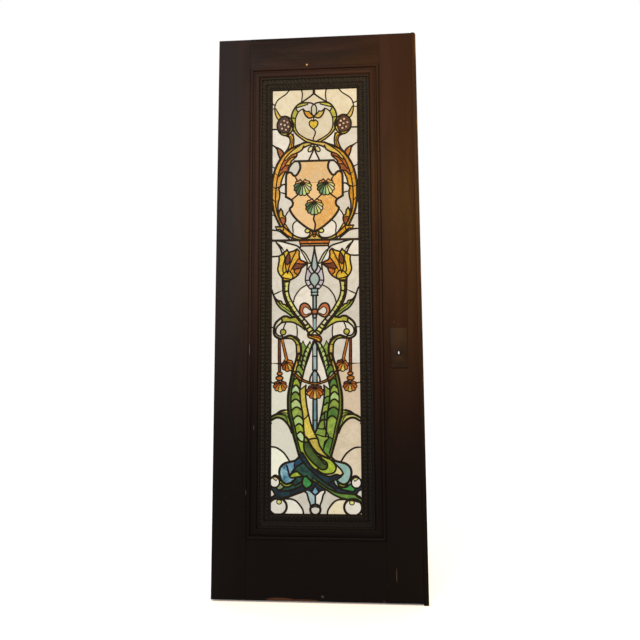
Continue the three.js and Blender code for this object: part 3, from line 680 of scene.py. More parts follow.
# Widths of the cames as they look against the lit glass, from the heaviest to the finest
CROWN, THICK, MAIN, THIN, FINE = 14.5, 12.2, 9.2, 7.2, 5.4
BORDER, TASSEL, SEED = 7.4, 4.8, 3.2
# lead and ring draw lines. tint names the glass at a spot, and region the glasses inside an outline that no
# spot names. Each has a form that does the same in the mirror.
strokes = []
seeds = []
regions = []


def mirrored(point):
    return (2 * SHEET["axis"] - point[0], point[1])


def lead(width, *points):
    strokes.append((width, list(points)))


def both(width, *points):
    lead(width, *points)
    lead(width, *(mirrored(p) for p in points))


def placed(centre, x, z, tilt):
    """A point x and z from a centre, turned about it by tilt degrees."""
    turn = math.radians(tilt)
    return (
        centre[0] + (x * math.cos(turn) - z * math.sin(turn)),
        centre[1] + (x * math.sin(turn) + z * math.cos(turn)),
    )


def between(a, b, share):
    return (a[0] * (1 - share) + b[0] * share, a[1] * (1 - share) + b[1] * share)


def oval(centre, wide, high, tilt=0.0):
    steps = 22
    angles = [2 * math.pi * i / steps for i in range(steps + 1)]
    return [placed(centre, wide * math.cos(a), high * math.sin(a), tilt) for a in angles]


def ring(width, centre, wide, high):
    lead(width, *oval(centre, wide, high))


def ring_both(width, centre, wide, high, tilt=0.0):
    both(width, *oval(centre, wide, high, tilt))


def tint(name, *spots):
    seeds.extend((name, spot) for spot in spots)


def tint_both(name, *spots):
    tint(name, *spots, *(mirrored(spot) for spot in spots))


def region(names, *outline):
    regions.append((names, list(outline)))


def region_both(names, *outline):
    region(names, *outline)
    region(names, *(mirrored(p) for p in outline))


def shell(centre, radius, lobes, names, tilt=0.0, gap=70.0, width=FINE, flat=1.0):
    """A scallop shell: a scalloped rim and ribs that fan out from the hinge at its top."""

    def at(angle, reach):
        reach = reach * radius
        return placed(centre, reach * math.cos(angle), reach * math.sin(angle) * flat, tilt)

    first = math.radians(90 + gap / 2)
    sweep = math.radians(360 - gap)
    rim = []
    for i in range(lobes):
        for share in (0.0, 0.25, 0.5, 0.75):
            bulge = 0.9 + 0.13 * math.sin(math.pi * share)
            rim.append(at(first + sweep * (i + share) / lobes, bulge))
    rim.append(at(first + sweep, 0.9))
    ears = [at(math.radians(90 + way * gap * 0.24), 0.98) for way in (-1, 1)]
    hinge = at(math.pi / 2, 0.62)
    lead(width + 1.2, *rim, ears[0], hinge, ears[1], rim[0])
    for i in range(1, lobes):
        lead(width, hinge, rim[4 * i])
    for i in range(lobes):
        posts = (hinge, rim[4 * i], rim[4 * i + 2], rim[4 * i + 2], rim[4 * i + 4])
        middle = tuple(sum(p[j] for p in posts) / len(posts) for j in (0, 1))
        tint(names[i * len(names) // lobes], middle)


def heart_and_leaves():
    lead(CROWN, (-12, 2200), (-12, 2164))
    both(
        MAIN, (-12, 2170), (-27, 2157), (-42, 2146), (-57, 2136), (-72, 2127), (-87, 2117), (-99, 2102),
        (-107, 2087), (-112, 2070), (-113, 2052), (-111, 2030), (-105, 2003), (-94, 1985), (-79, 1970),
        (-62, 1956),
    )
    both(
        THIN, (-60, 2098), (-71, 2094), (-82, 2084), (-90, 2068), (-95, 2051), (-96, 2030), (-94, 2010),
        (-87, 1994), (-76, 1980), (-60, 1968), (-42, 1957),
    )
    lead(MAIN, (-42, 1957), (-14, 1948), (13, 1943), (33, 1940))
    lead(MAIN, (-62, 1956), (-47, 1946), (-27, 1939), (-5, 1932), (18, 1926), (34, 1918))
    lead(MAIN, (18, 1957), (2, 1948))
    lead(MAIN, (38, 1956), (22, 1947), (13, 1943))
    lead(MAIN, (-57, 1940), (-40, 1942), (-30, 1940))
    lead(MAIN, (-58, 1918), (-42, 1926), (-14, 1934))
    both(THIN, (-113, 2058), (-94, 2056))
    both(THIN, (-106, 1992), (-90, 2000))
    both(THIN, (-94, 2104), (-77, 2108), (-60, 2113), (-40, 2119))
    both(MAIN, (-80, 2122), (-60, 2127), (-37, 2127), (-22, 2124), (-12, 2118))
    ring(THIN, (-12, 2092), 12, 26)
    both(MAIN, (-60, 2098), (-56, 2082), (-50, 2069), (-39, 2057), (-27, 2055), (-12, 2062))
    both(THIN, (-60, 2098), (-46, 2086), (-34, 2087), (-27, 2076), (-12, 2062))
    lead(THIN, (-12, 2062), (-14, 2041))
    both(THIN, (-94, 2104), (-84, 2086))
    for way in (-1, 1):
        half = ((0, 2041), (9, 2045), (18, 2037), (19, 2026), (12, 2013), (0, 2003))
        lead(THIN, *((-14 + way * dx, z) for dx, z in half))
    lead(THIN, (-14, 2003), (-6, 1991), (-8, 1977), (-15, 1960), (-14, 1948))
    both(
        THIN, (-121, 2200), (-124, 2188), (-137, 2171), (-153, 2160), (-172, 2146), (-183, 2130),
        (-188, 2112), (-187, 2098),
    )
    both(THIN, (-72, 2200), (-65, 2177), (-64, 2160), (-67, 2134))
    both(MAIN, (-216, 2130), (-187, 2120))
    both(THIN, (-216, 2100), (-189, 2104))
    tint_both("sprig", (-101, 2082), (-62, 2119), (-104, 2040), (-100, 2012))
    tint_both("cream", (-82, 2101))
    tint_both("pale_gold", (-86, 1982), (-60, 1961))
    tint("heart_cream", (-60, 2040), (40, 2040), (-40, 1990), (20, 1990))
    tint("pale_gold", (-20, 1942), (10, 1936), (25, 1934), (28, 1952), (-44, 1935))
    tint("gold", (-42, 2073))
    tint("pale_gold", (-32, 2064), (18, 2073))
    tint("olive_gold", (8, 2064))
    tint("yellow", (-14, 2025))
    tint("cream_green", (-12, 2092))


def pomegranates():
    both(
        MAIN, (-143, 2067), (-160, 2060), (-172, 2045), (-177, 2024), (-172, 2001), (-160, 1985),
        (-143, 1977), (-125, 1982), (-110, 1998), (-103, 2022), (-110, 2046), (-125, 2061), (-143, 2067),
    )
    both(THIN, (-134, 2066), (-121, 2046), (-115, 2022), (-121, 1998), (-134, 1980))
    both(THIN, (-173, 2006), (-160, 1994), (-146, 1989), (-127, 1989))
    spots = ((-146, 2046), (-131, 2038), (-160, 2030), (-143, 2026), (-127, 2018), (-155, 2010), (-138, 2004))
    for spot in spots:
        ring_both(SEED, spot, 6.2, 6.2)
        tint_both("rose", spot)
    both(THIN, (-188, 2106), (-186, 2082), (-178, 2060), (-168, 2052))
    both(THIN, (-183, 2104), (-172, 2083), (-162, 2068), (-152, 2066))
    tint_both("pale_gold", (-177, 2078), (-112, 2008), (-112, 2040))
    tint_both("olive_gold", (-152, 1984))
    region_both(
        ("seed_brown",), (-143, 2067), (-172, 2045), (-177, 2024), (-160, 1985), (-143, 1977), (-121, 1998),
        (-115, 2022), (-121, 2046),
    )
    both(MAIN, (-140, 1977), (-124, 1968), (-118, 1952), (-121, 1935), (-131, 1912), (-149, 1889))
    both(MAIN, (-119, 1988), (-106, 1976), (-102, 1952), (-105, 1921))
    both(FINE, (-128, 1978), (-113, 1966), (-110, 1945), (-115, 1922))
    tint_both("gold", (-120, 1974), (-115, 1940))
    tint_both("orange", (-106, 1962), (-109, 1932))
    both(MAIN, (-216, 2007), (-176, 2007))
    both(MAIN, (-216, 1945), (-186, 1926), (-168, 1918), (-152, 1905), (-148, 1893))
    both(MAIN, (-186, 1926), (-176, 1912), (-173, 1896), (-164, 1872))
    tint_both("amber", (-162, 1900))
    both(THIN, (-104, 1985), (-103, 1972))


def wreath():
    both(
        THICK, (-57, 1941), (-82, 1931), (-107, 1920), (-130, 1906), (-150, 1886), (-166, 1862),
        (-179, 1838), (-189, 1808), (-196, 1776), (-199, 1742), (-199, 1690), (-195, 1655), (-188, 1622),
        (-175, 1592), (-163, 1566),
    )
    both(
        MAIN, (-58, 1928), (-64, 1911), (-78, 1900), (-88, 1896), (-90, 1880), (-102, 1868), (-114, 1856),
        (-117, 1840),
    )
    both(
        MAIN, (-117, 1840), (-126, 1828), (-128, 1812), (-140, 1806), (-150, 1788), (-158, 1764),
        (-160, 1745),
    )
    both(
        MAIN, (-160, 1745), (-168, 1732), (-164, 1716), (-166, 1690), (-171, 1668), (-172, 1642),
        (-165, 1600), (-150, 1566),
    )
    both(
        THIN, (-64, 1936), (-100, 1913), (-128, 1888), (-150, 1855), (-166, 1815), (-176, 1775), (-181, 1735),
    )
    both(THIN, (-181, 1735), (-183, 1700), (-182, 1660), (-176, 1625), (-164, 1590))
    both(THIN, (-88, 1896), (-112, 1886), (-137, 1862))
    both(THIN, (-90, 1880), (-118, 1870), (-141, 1843))
    both(THIN, (-117, 1840), (-140, 1838), (-158, 1818))
    both(THIN, (-128, 1812), (-150, 1808), (-168, 1790))
    both(THIN, (-189, 1808), (-168, 1790))
    both(THIN, (-199, 1742), (-181, 1735))
    both(THIN, (-199, 1690), (-182, 1672))
    both(THIN, (-160, 1745), (-181, 1735))
    both(MAIN, (-160, 1642), (-152, 1630), (-149, 1612), (-140, 1606), (-138, 1588), (-146, 1566))
    both(MAIN, (-160, 1642), (-167, 1628), (-168, 1610), (-160, 1586), (-150, 1566))
    region_both(
        ("wreath_gold", "amber", "gold", "orange"), (-57, 1941), (-107, 1920), (-150, 1886), (-179, 1838),
        (-196, 1776), (-199, 1690), (-188, 1622), (-163, 1566), (-150, 1566), (-172, 1642), (-164, 1716),
        (-160, 1745), (-150, 1788), (-128, 1812), (-117, 1840), (-102, 1868), (-88, 1896), (-64, 1911),
    )
    tint_both(
        "wreath_gold", (-90, 1925), (-130, 1895), (-160, 1858), (-190, 1775), (-195, 1715), (-190, 1640),
    )
    tint_both("yellow", (-80, 1910), (-110, 1894))
    tint_both("rust", (-118, 1878), (-145, 1828), (-160, 1800))
    tint_both("gold", (-152, 1795))
    tint_both("garnet", (-132, 1822))
    both(FINE, (-165, 1600), (-152, 1603), (-139, 1596))
    tint_both("yellow", (-156, 1618))
    tint_both("rust", (-152, 1585), (-149, 1578))
    both(MAIN, (-216, 1842), (-184, 1826))
    both(MAIN, (-216, 1615), (-185, 1613))
    ring_both(THIN, (-28, 1911), 9, 14, -34)
    tint_both("cream_yellow", (-28, 1911))
    both(MAIN, (-12, 1932), (-17, 1902), (-35, 1862))
    tint("cream", (-12, 1890), (-12, 1918))


def shield():
    lead(THICK, (-98, 1857), (74, 1857))
    both(MAIN, (-98, 1857), (-110, 1846), (-122, 1828), (-128, 1808))
    both(
        THICK, (-80, 1855), (-74, 1840), (-74, 1822), (-82, 1805), (-92, 1792), (-103, 1792), (-111, 1802),
        (-120, 1807), (-130, 1803), (-136, 1790), (-137, 1750), (-137, 1696),
    )
    both(
        THICK, (-137, 1696), (-124, 1688), (-112, 1680), (-106, 1666), (-110, 1652), (-119, 1644),
        (-117, 1631), (-105, 1611), (-87, 1590), (-62, 1568), (-37, 1550), (-12, 1538),
    )
    greens = (
        "apricot", "fern", "moss", "fern", "jade", "pale_green", "lemon", "cream_green", "lemon", "apricot",
    )
    tint("peach", (-12, 1820), (-60, 1640), (-115, 1740), (-12, 1712))
    tint("deep_peach", (40, 1640), (90, 1740))
    shell((-63, 1738), 38, 10, greens)
    shell((39, 1738), 38, 10, greens)
    shell((-12, 1650), 38, 10, greens)
    lead(MAIN, (-32, 1758), (8, 1758))
    both(MAIN, (-88, 1772), (-102, 1793))
    both(MAIN, (-44, 1704), (-34, 1694), (-22, 1682))
    both(MAIN, (-82, 1706), (-112, 1682))
    lead(MAIN, (-11, 1612), (-15, 1592), (-8, 1570), (-12, 1538))
    region_both(
        ("peach",), (-12, 1857), (-80, 1857), (-74, 1822), (-92, 1792), (-120, 1807), (-137, 1790),
        (-137, 1696), (-106, 1666), (-119, 1640), (-87, 1590), (-12, 1538),
    )
    both(MAIN, (-137, 1752), (-150, 1752), (-160, 1745))
    both(THIN, (-137, 1708), (-152, 1714), (-165, 1716))
    both(THIN, (-119, 1640), (-132, 1622), (-140, 1606))
    both(THIN, (-88, 1588), (-102, 1577), (-107, 1562), (-105, 1540), (-104, 1520))
    both(THIN, (-138, 1572), (-127, 1553), (-113, 1533))


def ribbon_band():
    both(
        MAIN, (-182, 1562), (-160, 1562), (-145, 1560), (-130, 1546), (-112, 1531), (-94, 1518), (-72, 1510),
        (-50, 1510), (-37, 1517), (-30, 1530),
    )
    both(MAIN, (-163, 1550), (-152, 1541), (-137, 1527), (-119, 1515), (-104, 1509), (-82, 1502))
    both(THIN, (-182, 1562), (-178, 1549), (-163, 1550))
    both(MAIN, (-216, 1548), (-182, 1546), (-163, 1540), (-148, 1528), (-128, 1512), (-114, 1500))
    both(THIN, (-112, 1531), (-104, 1509))
    both(THIN, (-145, 1560), (-150, 1541))
    tint_both("pale_gold", (-98, 1514), (-70, 1506))
    tint_both("wreath_gold", (-120, 1526), (-45, 1508), (-30, 1518))
    region_both(
        ("pale_gold", "wreath_gold"), (-182, 1562), (-145, 1560), (-94, 1518), (-60, 1508), (-82, 1502),
        (-119, 1515), (-163, 1550),
    )
    ring_both(THIN, (-42, 1541), 11, 9)
    ring(FINE, (-12, 1533), 9, 7)
    ring(FINE, (-12, 1519), 7, 6)
    both(THIN, (-31, 1541), (-20, 1534))
    both(THIN, (-20, 1528), (-34, 1512), (-60, 1503))
    tint_both("lemon", (-42, 1541))
    tint("rust", (-12, 1533), (-12, 1519))


def tablet():
    lead(MAIN, (-74, 1484), (50, 1484))
    lead(MAIN, (-72, 1474), (48, 1474))
    both(MAIN, (-82, 1503), (-74, 1484), (-72, 1474))
    both(MAIN, (-216, 1505), (-162, 1497), (-120, 1485), (-88, 1475), (-76, 1463))
    both(MAIN, (-72, 1474), (-76, 1463))
    tint("orange", (-40, 1492), (20, 1492))
    tint("apricot", (-40, 1479), (20, 1479))
    tint("cream", (0, 1503))


def spear():
    both(MAIN, (-11, 1474), (-15, 1445), (-20, 1420), (-24, 1393), (-23, 1376), (-12, 1357))
    both(MAIN, (-12, 1357), (-24, 1350), (-32, 1335), (-33, 1323), (-26, 1308), (-17, 1298))
    both(MAIN, (-17, 1298), (-15, 1287))
    both(THIN, (-24, 1393), (-37, 1376), (-34, 1362), (-24, 1350))
    both(THIN, (-42, 1395), (-45, 1370), (-50, 1345), (-52, 1322), (-46, 1305), (-36, 1290), (-26, 1280))
    both(THIN, (-24, 1393), (-42, 1400))
    both(THIN, (-37, 1376), (-45, 1368))
    both(THIN, (-33, 1323), (-51, 1322))
    both(THIN, (-26, 1308), (-40, 1296))
    for z in (1287, 1270, 1257):
        lead(THIN, (-27, z), (3, z))
    both(THIN, (-27, 1287), (-24, 1279), (-27, 1270), (-24, 1264), (-27, 1257), (-19, 1252))
    both(MAIN, (-19, 1256), (-19, 1196))
    tint("spear_grey", (-12, 1400), (-12, 1330), (-12, 1440))
    tint("blue_grey", (-12, 1370), (-12, 1278), (-12, 1263), (-12, 1290))
    tint_both("lilac", (-42, 1352), (-29, 1370), (-42, 1312), (-35, 1300))
    both(THIN, (-76, 1463), (-60, 1450), (-47, 1433), (-36, 1412), (-27, 1396))
    both(THIN, (-74, 1460), (-63, 1440), (-52, 1420), (-42, 1400))
    tint_both("cream_green", (-58, 1440))


def tulips():
    both(
        MAIN, (-157, 1340), (-167, 1355), (-172, 1372), (-169, 1392), (-166, 1412), (-167, 1430),
        (-158, 1436), (-150, 1438), (-146, 1447), (-138, 1452), (-132, 1459), (-124, 1447),
    )
    both(MAIN, (-124, 1447), (-116, 1449), (-104, 1452), (-88, 1461), (-78, 1450), (-79, 1436), (-77, 1424))
    both(MAIN, (-77, 1424), (-72, 1412), (-57, 1405), (-43, 1396), (-57, 1386), (-69, 1376))
    both(MAIN, (-69, 1376), (-75, 1360), (-84, 1346), (-96, 1336), (-112, 1327))
    both(THIN, (-146, 1447), (-141, 1420), (-147, 1395), (-150, 1370), (-146, 1352))
    both(THIN, (-124, 1447), (-136, 1425), (-139, 1398), (-136, 1372), (-131, 1358))
    both(THIN, (-88, 1461), (-105, 1425), (-118, 1395), (-126, 1368), (-128, 1352))
    both(THIN, (-124, 1447), (-118, 1425), (-120, 1404), (-130, 1392), (-138, 1400))
    both(THIN, (-77, 1424), (-95, 1400), (-108, 1378), (-118, 1358))
    both(THIN, (-43, 1396), (-70, 1395), (-95, 1400))
    both(THIN, (-69, 1376), (-88, 1374), (-100, 1368), (-108, 1378))
    both(THIN, (-84, 1346), (-98, 1356), (-100, 1368))
    both(
        THIN, (-157, 1340), (-147, 1352), (-136, 1362), (-124, 1366), (-113, 1356), (-106, 1340),
        (-112, 1327),
    )
    both(THIN, (-157, 1340), (-140, 1333), (-125, 1330), (-112, 1327))
    both(THIN, (-150, 1322), (-134, 1316), (-119, 1322))
    both(MAIN, (-157, 1340), (-150, 1330))
    both(MAIN, (-112, 1327), (-119, 1324))
    tint_both("yellow", (-134, 1323), (-134, 1327))
    region_both(
        ("gold", "orange", "wreath_gold"), (-157, 1340), (-172, 1372), (-167, 1430), (-132, 1459),
        (-88, 1461), (-77, 1424), (-43, 1396), (-69, 1376), (-96, 1336), (-112, 1327),
    )
    tint_both("yellow", (-160, 1390), (-156, 1360), (-145, 1430), (-142, 1400), (-132, 1345), (-128, 1340))
    tint_both("gold", (-105, 1445), (-100, 1415), (-118, 1440))
    tint_both("garnet", (-129, 1408), (-92, 1388), (-84, 1384))
    tint_both("orange", (-62, 1400), (-62, 1386), (-90, 1362), (-115, 1380))
    both(MAIN, (-182, 1499), (-176, 1488), (-164, 1470), (-156, 1452), (-152, 1438))
    both(MAIN, (-176, 1488), (-160, 1474), (-148, 1458), (-141, 1448))
    both(MAIN, (-216, 1431), (-190, 1429), (-167, 1431))


def stalks():
    both(
        THICK, (-150, 1330), (-149, 1300), (-147, 1270), (-140, 1242), (-129, 1218), (-112, 1190),
        (-92, 1165), (-72, 1142), (-52, 1115), (-36, 1090),
    )
    both(
        MAIN, (-119, 1324), (-124, 1302), (-125, 1277), (-120, 1252), (-109, 1229), (-92, 1200), (-72, 1172),
        (-52, 1150), (-34, 1128), (-14, 1104), (6, 1086),
    )
    outer = (
        (-150, 1322), (-149, 1298), (-147, 1272), (-142, 1247), (-132, 1224), (-119, 1201), (-105, 1181),
        (-89, 1161), (-72, 1142), (-57, 1122),
    )
    inner = (
        (-120, 1322), (-124, 1298), (-125, 1278), (-121, 1256), (-112, 1235), (-100, 1214), (-87, 1193),
        (-72, 1172), (-56, 1154), (-40, 1135),
    )
    for a, b in zip(outer, inner):
        both(MAIN, a, b)
    lead(THICK, (12, 1090), (6, 1080))
    both(MAIN, (-48, 1110), (-30, 1122))
    both(MAIN, (-38, 1095), (-18, 1108))
    tint_both("lemon", (-43, 1125), (-34, 1108), (-24, 1096))
    both(FINE, *(between(a, b, 0.34) for a, b in zip(outer, inner)))
    for i in range(len(outer) - 1):
        mid = between(outer[i], outer[i + 1], 0.5)
        far = between(inner[i], inner[i + 1], 0.5)
        tint_both("lemon" if i < 6 else "cream_green", between(mid, far, 0.65))
        tint_both("olive", between(mid, far, 0.16))
    both(MAIN, (-43, 1396), (-45, 1370))
    both(THIN, (-50, 1300), (-70, 1288), (-86, 1270), (-98, 1250), (-104, 1226))
    both(MAIN, (-216, 1300), (-200, 1288), (-190, 1260), (-176, 1238), (-160, 1222))
    both(
        MAIN, (-190, 1260), (-182, 1245), (-170, 1236), (-156, 1232), (-150, 1220), (-140, 1218),
        (-131, 1208),
    )
    both(
        MAIN, (-190, 1260), (-187, 1250), (-175, 1222), (-157, 1200), (-137, 1187), (-117, 1172),
        (-100, 1160),
    )
    both(THIN, (-190, 1262), (-168, 1272), (-148, 1282))
    both(FINE, (-176, 1238), (-157, 1216), (-137, 1200), (-118, 1186))
    tint_both("sprig", (-162, 1226), (-140, 1210))
    tint_both("leaf_green", (-150, 1201), (-170, 1222), (-128, 1190))
    both(MAIN, (-19, 1176), (-19, 1084))
    tint("shaft_blue", (-12, 1235), (-12, 1212), (-12, 1150), (-12, 1110), (-12, 1165))


def bow():
    both(
        MAIN, (-24, 1190), (-29, 1200), (-39, 1216), (-52, 1223), (-65, 1221), (-74, 1210), (-77, 1190),
        (-72, 1175),
    )
    both(MAIN, (-72, 1175), (-60, 1163), (-45, 1165), (-24, 1178))
    both(
        FINE, (-24, 1186), (-35, 1196), (-49, 1207), (-59, 1203), (-63, 1190), (-60, 1180), (-51, 1173),
        (-39, 1177), (-24, 1184),
    )
    ring(MAIN, (-12, 1186), 13, 11)
    both(THIN, (-22, 1178), (-20, 1164), (-12, 1158))
    tint_both("ribbon_rust", (-70, 1190), (-50, 1215), (-53, 1168))
    tint("ribbon_rust", (-12, 1187))
    tint("orange", (-12, 1169))


def scrolls():
    both(
        THICK, (-97, 1166), (-117, 1161), (-132, 1167), (-147, 1166), (-156, 1160), (-167, 1152),
        (-178, 1141), (-185, 1127), (-188, 1110), (-188, 1095), (-182, 1082), (-172, 1075), (-159, 1071),
        (-147, 1074), (-134, 1080), (-119, 1084), (-107, 1081), (-92, 1076), (-78, 1064),
    )
    both(
        MAIN, (-142, 1076), (-153, 1082), (-166, 1083), (-177, 1092), (-180, 1106), (-174, 1122),
        (-157, 1138),
    )
    both(
        MAIN, (-157, 1160), (-152, 1148), (-157, 1138), (-137, 1143), (-112, 1142), (-97, 1137), (-74, 1124),
        (-55, 1108),
    )
    both(THIN, (-97, 1166), (-80, 1150))
    ring_both(THIN, (-148, 1099), 12, 12)
    both(THIN, (-135, 1142), (-143, 1126), (-146, 1112))
    both(THIN, (-92, 1135), (-87, 1107), (-88, 1078))
    tint_both("sprig", (-148, 1099), (-90, 1150))
    tint_both("lime", (-110, 1152), (-140, 1155))
    tint_both("cream_green", (-184, 1108), (-168, 1140), (-178, 1126))
    tint_both("leaf_green", (-72, 1132), (-62, 1122))
    both(MAIN, (-216, 1120), (-187, 1119))
    lead(
        MAIN, (-40, 1096), (-34, 1088), (-22, 1086), (0, 1085), (12, 1079), (17, 1067), (12, 1052), (4, 1056),
        (-8, 1064), (-24, 1070), (-38, 1076), (-42, 1086), (-40, 1096),
    )
    lead(FINE, (-36, 1084), (-20, 1078), (0, 1074), (14, 1064))
    tint("wreath_gold", (-30, 1079), (4, 1064), (-10, 1070))
    tint("orange", (-25, 1083), (5, 1080))
    both(
        MAIN, (-160, 1072), (-145, 1071), (-130, 1072), (-112, 1070), (-99, 1060), (-92, 1045), (-90, 1020),
        (-90, 996), (-97, 970),
    )
    both(THICK, (-107, 1081), (-92, 1070), (-79, 1057), (-72, 1037), (-71, 1015), (-75, 990), (-82, 968))
    both(THIN, (-92, 1045), (-73, 1042))
    region_both(
        ("leaf_green", "sprig"), (-107, 1081), (-79, 1057), (-71, 1015), (-82, 960), (-97, 965), (-90, 1020),
        (-99, 1060), (-119, 1075),
    )
    tint_both("pale_gold", (-82, 1022), (-84, 1000))


def tassels():
    both(FINE, (-169, 1073), (-169, 1000), (-168, 932))
    both(FINE, (-158, 1072), (-158, 1000), (-157, 932))
    both(FINE, (-157, 1066), (-151, 1040), (-143, 1005), (-139, 985))
    both(FINE, (-147, 1072), (-141, 1040), (-132, 1005), (-128, 985))
    tint_both("garnet", (-163, 1040), (-163, 980), (-163, 950), (-163, 938))
    tint_both("amber", (-147, 1040), (-140, 1000))
    ring_both(THIN, (-162, 922), 11, 7)
    ring_both(THIN, (-163, 903), 15, 9)
    tint_both("orange", (-162, 922))
    tint_both("amber", (-163, 903))
    warm = ("garnet", "rust", "amber", "pale_gold", "amber", "orange", "rust")
    for upper, lower, tilt in (((-128, 957), (-160, 870), 18), ((104, 957), (136, 870), -18)):
        shell(upper, 26, 6, warm, tilt=tilt, gap=80, width=TASSEL)
        shell(lower, 29, 7, warm, width=TASSEL, flat=0.85)
    fan = ("garnet", "rust", "orange", "amber", "pale_gold", "amber", "orange", "rust", "garnet")
    shell((-12, 846), 35, 9, fan, gap=60, width=TASSEL, flat=0.9)
    both(THIN, (-118, 937), (-104, 920), (-82, 900), (-62, 888), (-42, 881), (-20, 875), (-12, 874))
    both(THIN, (-112, 946), (-98, 929), (-78, 909), (-60, 897), (-42, 889), (-22, 884), (-12, 883))
    tint_both(
        "amber", (-50, 888), (-31, 880), (-90, 915), (-72, 901), (-100, 926), (-112, 940), (-38, 884),
        (-60, 893), (-20, 879),
    )
    region_both(("amber",), (-118, 938), (-82, 901), (-20, 875), (-22, 884), (-78, 909), (-112, 944))
    both(MAIN, (-216, 966), (-154, 964))
    both(MAIN, (-216, 887), (-188, 882))


def shaft():
    both(MAIN, (-21, 1058), (-21, 937))
    lead(MAIN, (-12, 937), (-22, 925), (-32, 905), (-34, 890))
    lead(MAIN, (-12, 937), (-2, 925), (8, 905), (10, 890))
    both(MAIN, (-21, 930), (-21, 884))
    both(MAIN, (-20, 815), (-20, 700), (-12, 676))
    lead(FINE, (-20, 727), (-4, 727))
    lead(THIN, (-20, 995), (-4, 995))
    tint("shaft_blue", (-12, 915), (-12, 905), (-12, 895), (-12, 960))
    region(("shaft_blue",), (-21, 1070), (-3, 1070), (-3, 880), (-21, 880))
    region(("deep_shaft",), (-20, 815), (-4, 815), (-4, 700), (-12, 676), (-20, 700))
    tint("spear_grey", (-12, 1040), (-12, 1015))


def scale_column(width, rows, names, rise=16):
    """Overlapping scales, each a round arch between two sides of a column."""
    for i, ((xl, zl), (xr, zr)) in enumerate(rows):
        top = ((xl + xr) / 2, (zl + zr) / 2 + rise)
        quarter = ((xl * 3 + xr) / 4, (zl * 3 + zr) / 4 + rise * 0.72)
        third = ((xl + xr * 3) / 4, (zl + zr * 3) / 4 + rise * 0.72)
        lead(width, (xl, zl), quarter, top, third, (xr, zr))
        tint(names[i % len(names)], (top[0], top[1] - 9))


def mirrored_rows(rows):
    return [(mirrored(b), mirrored(a)) for a, b in rows]


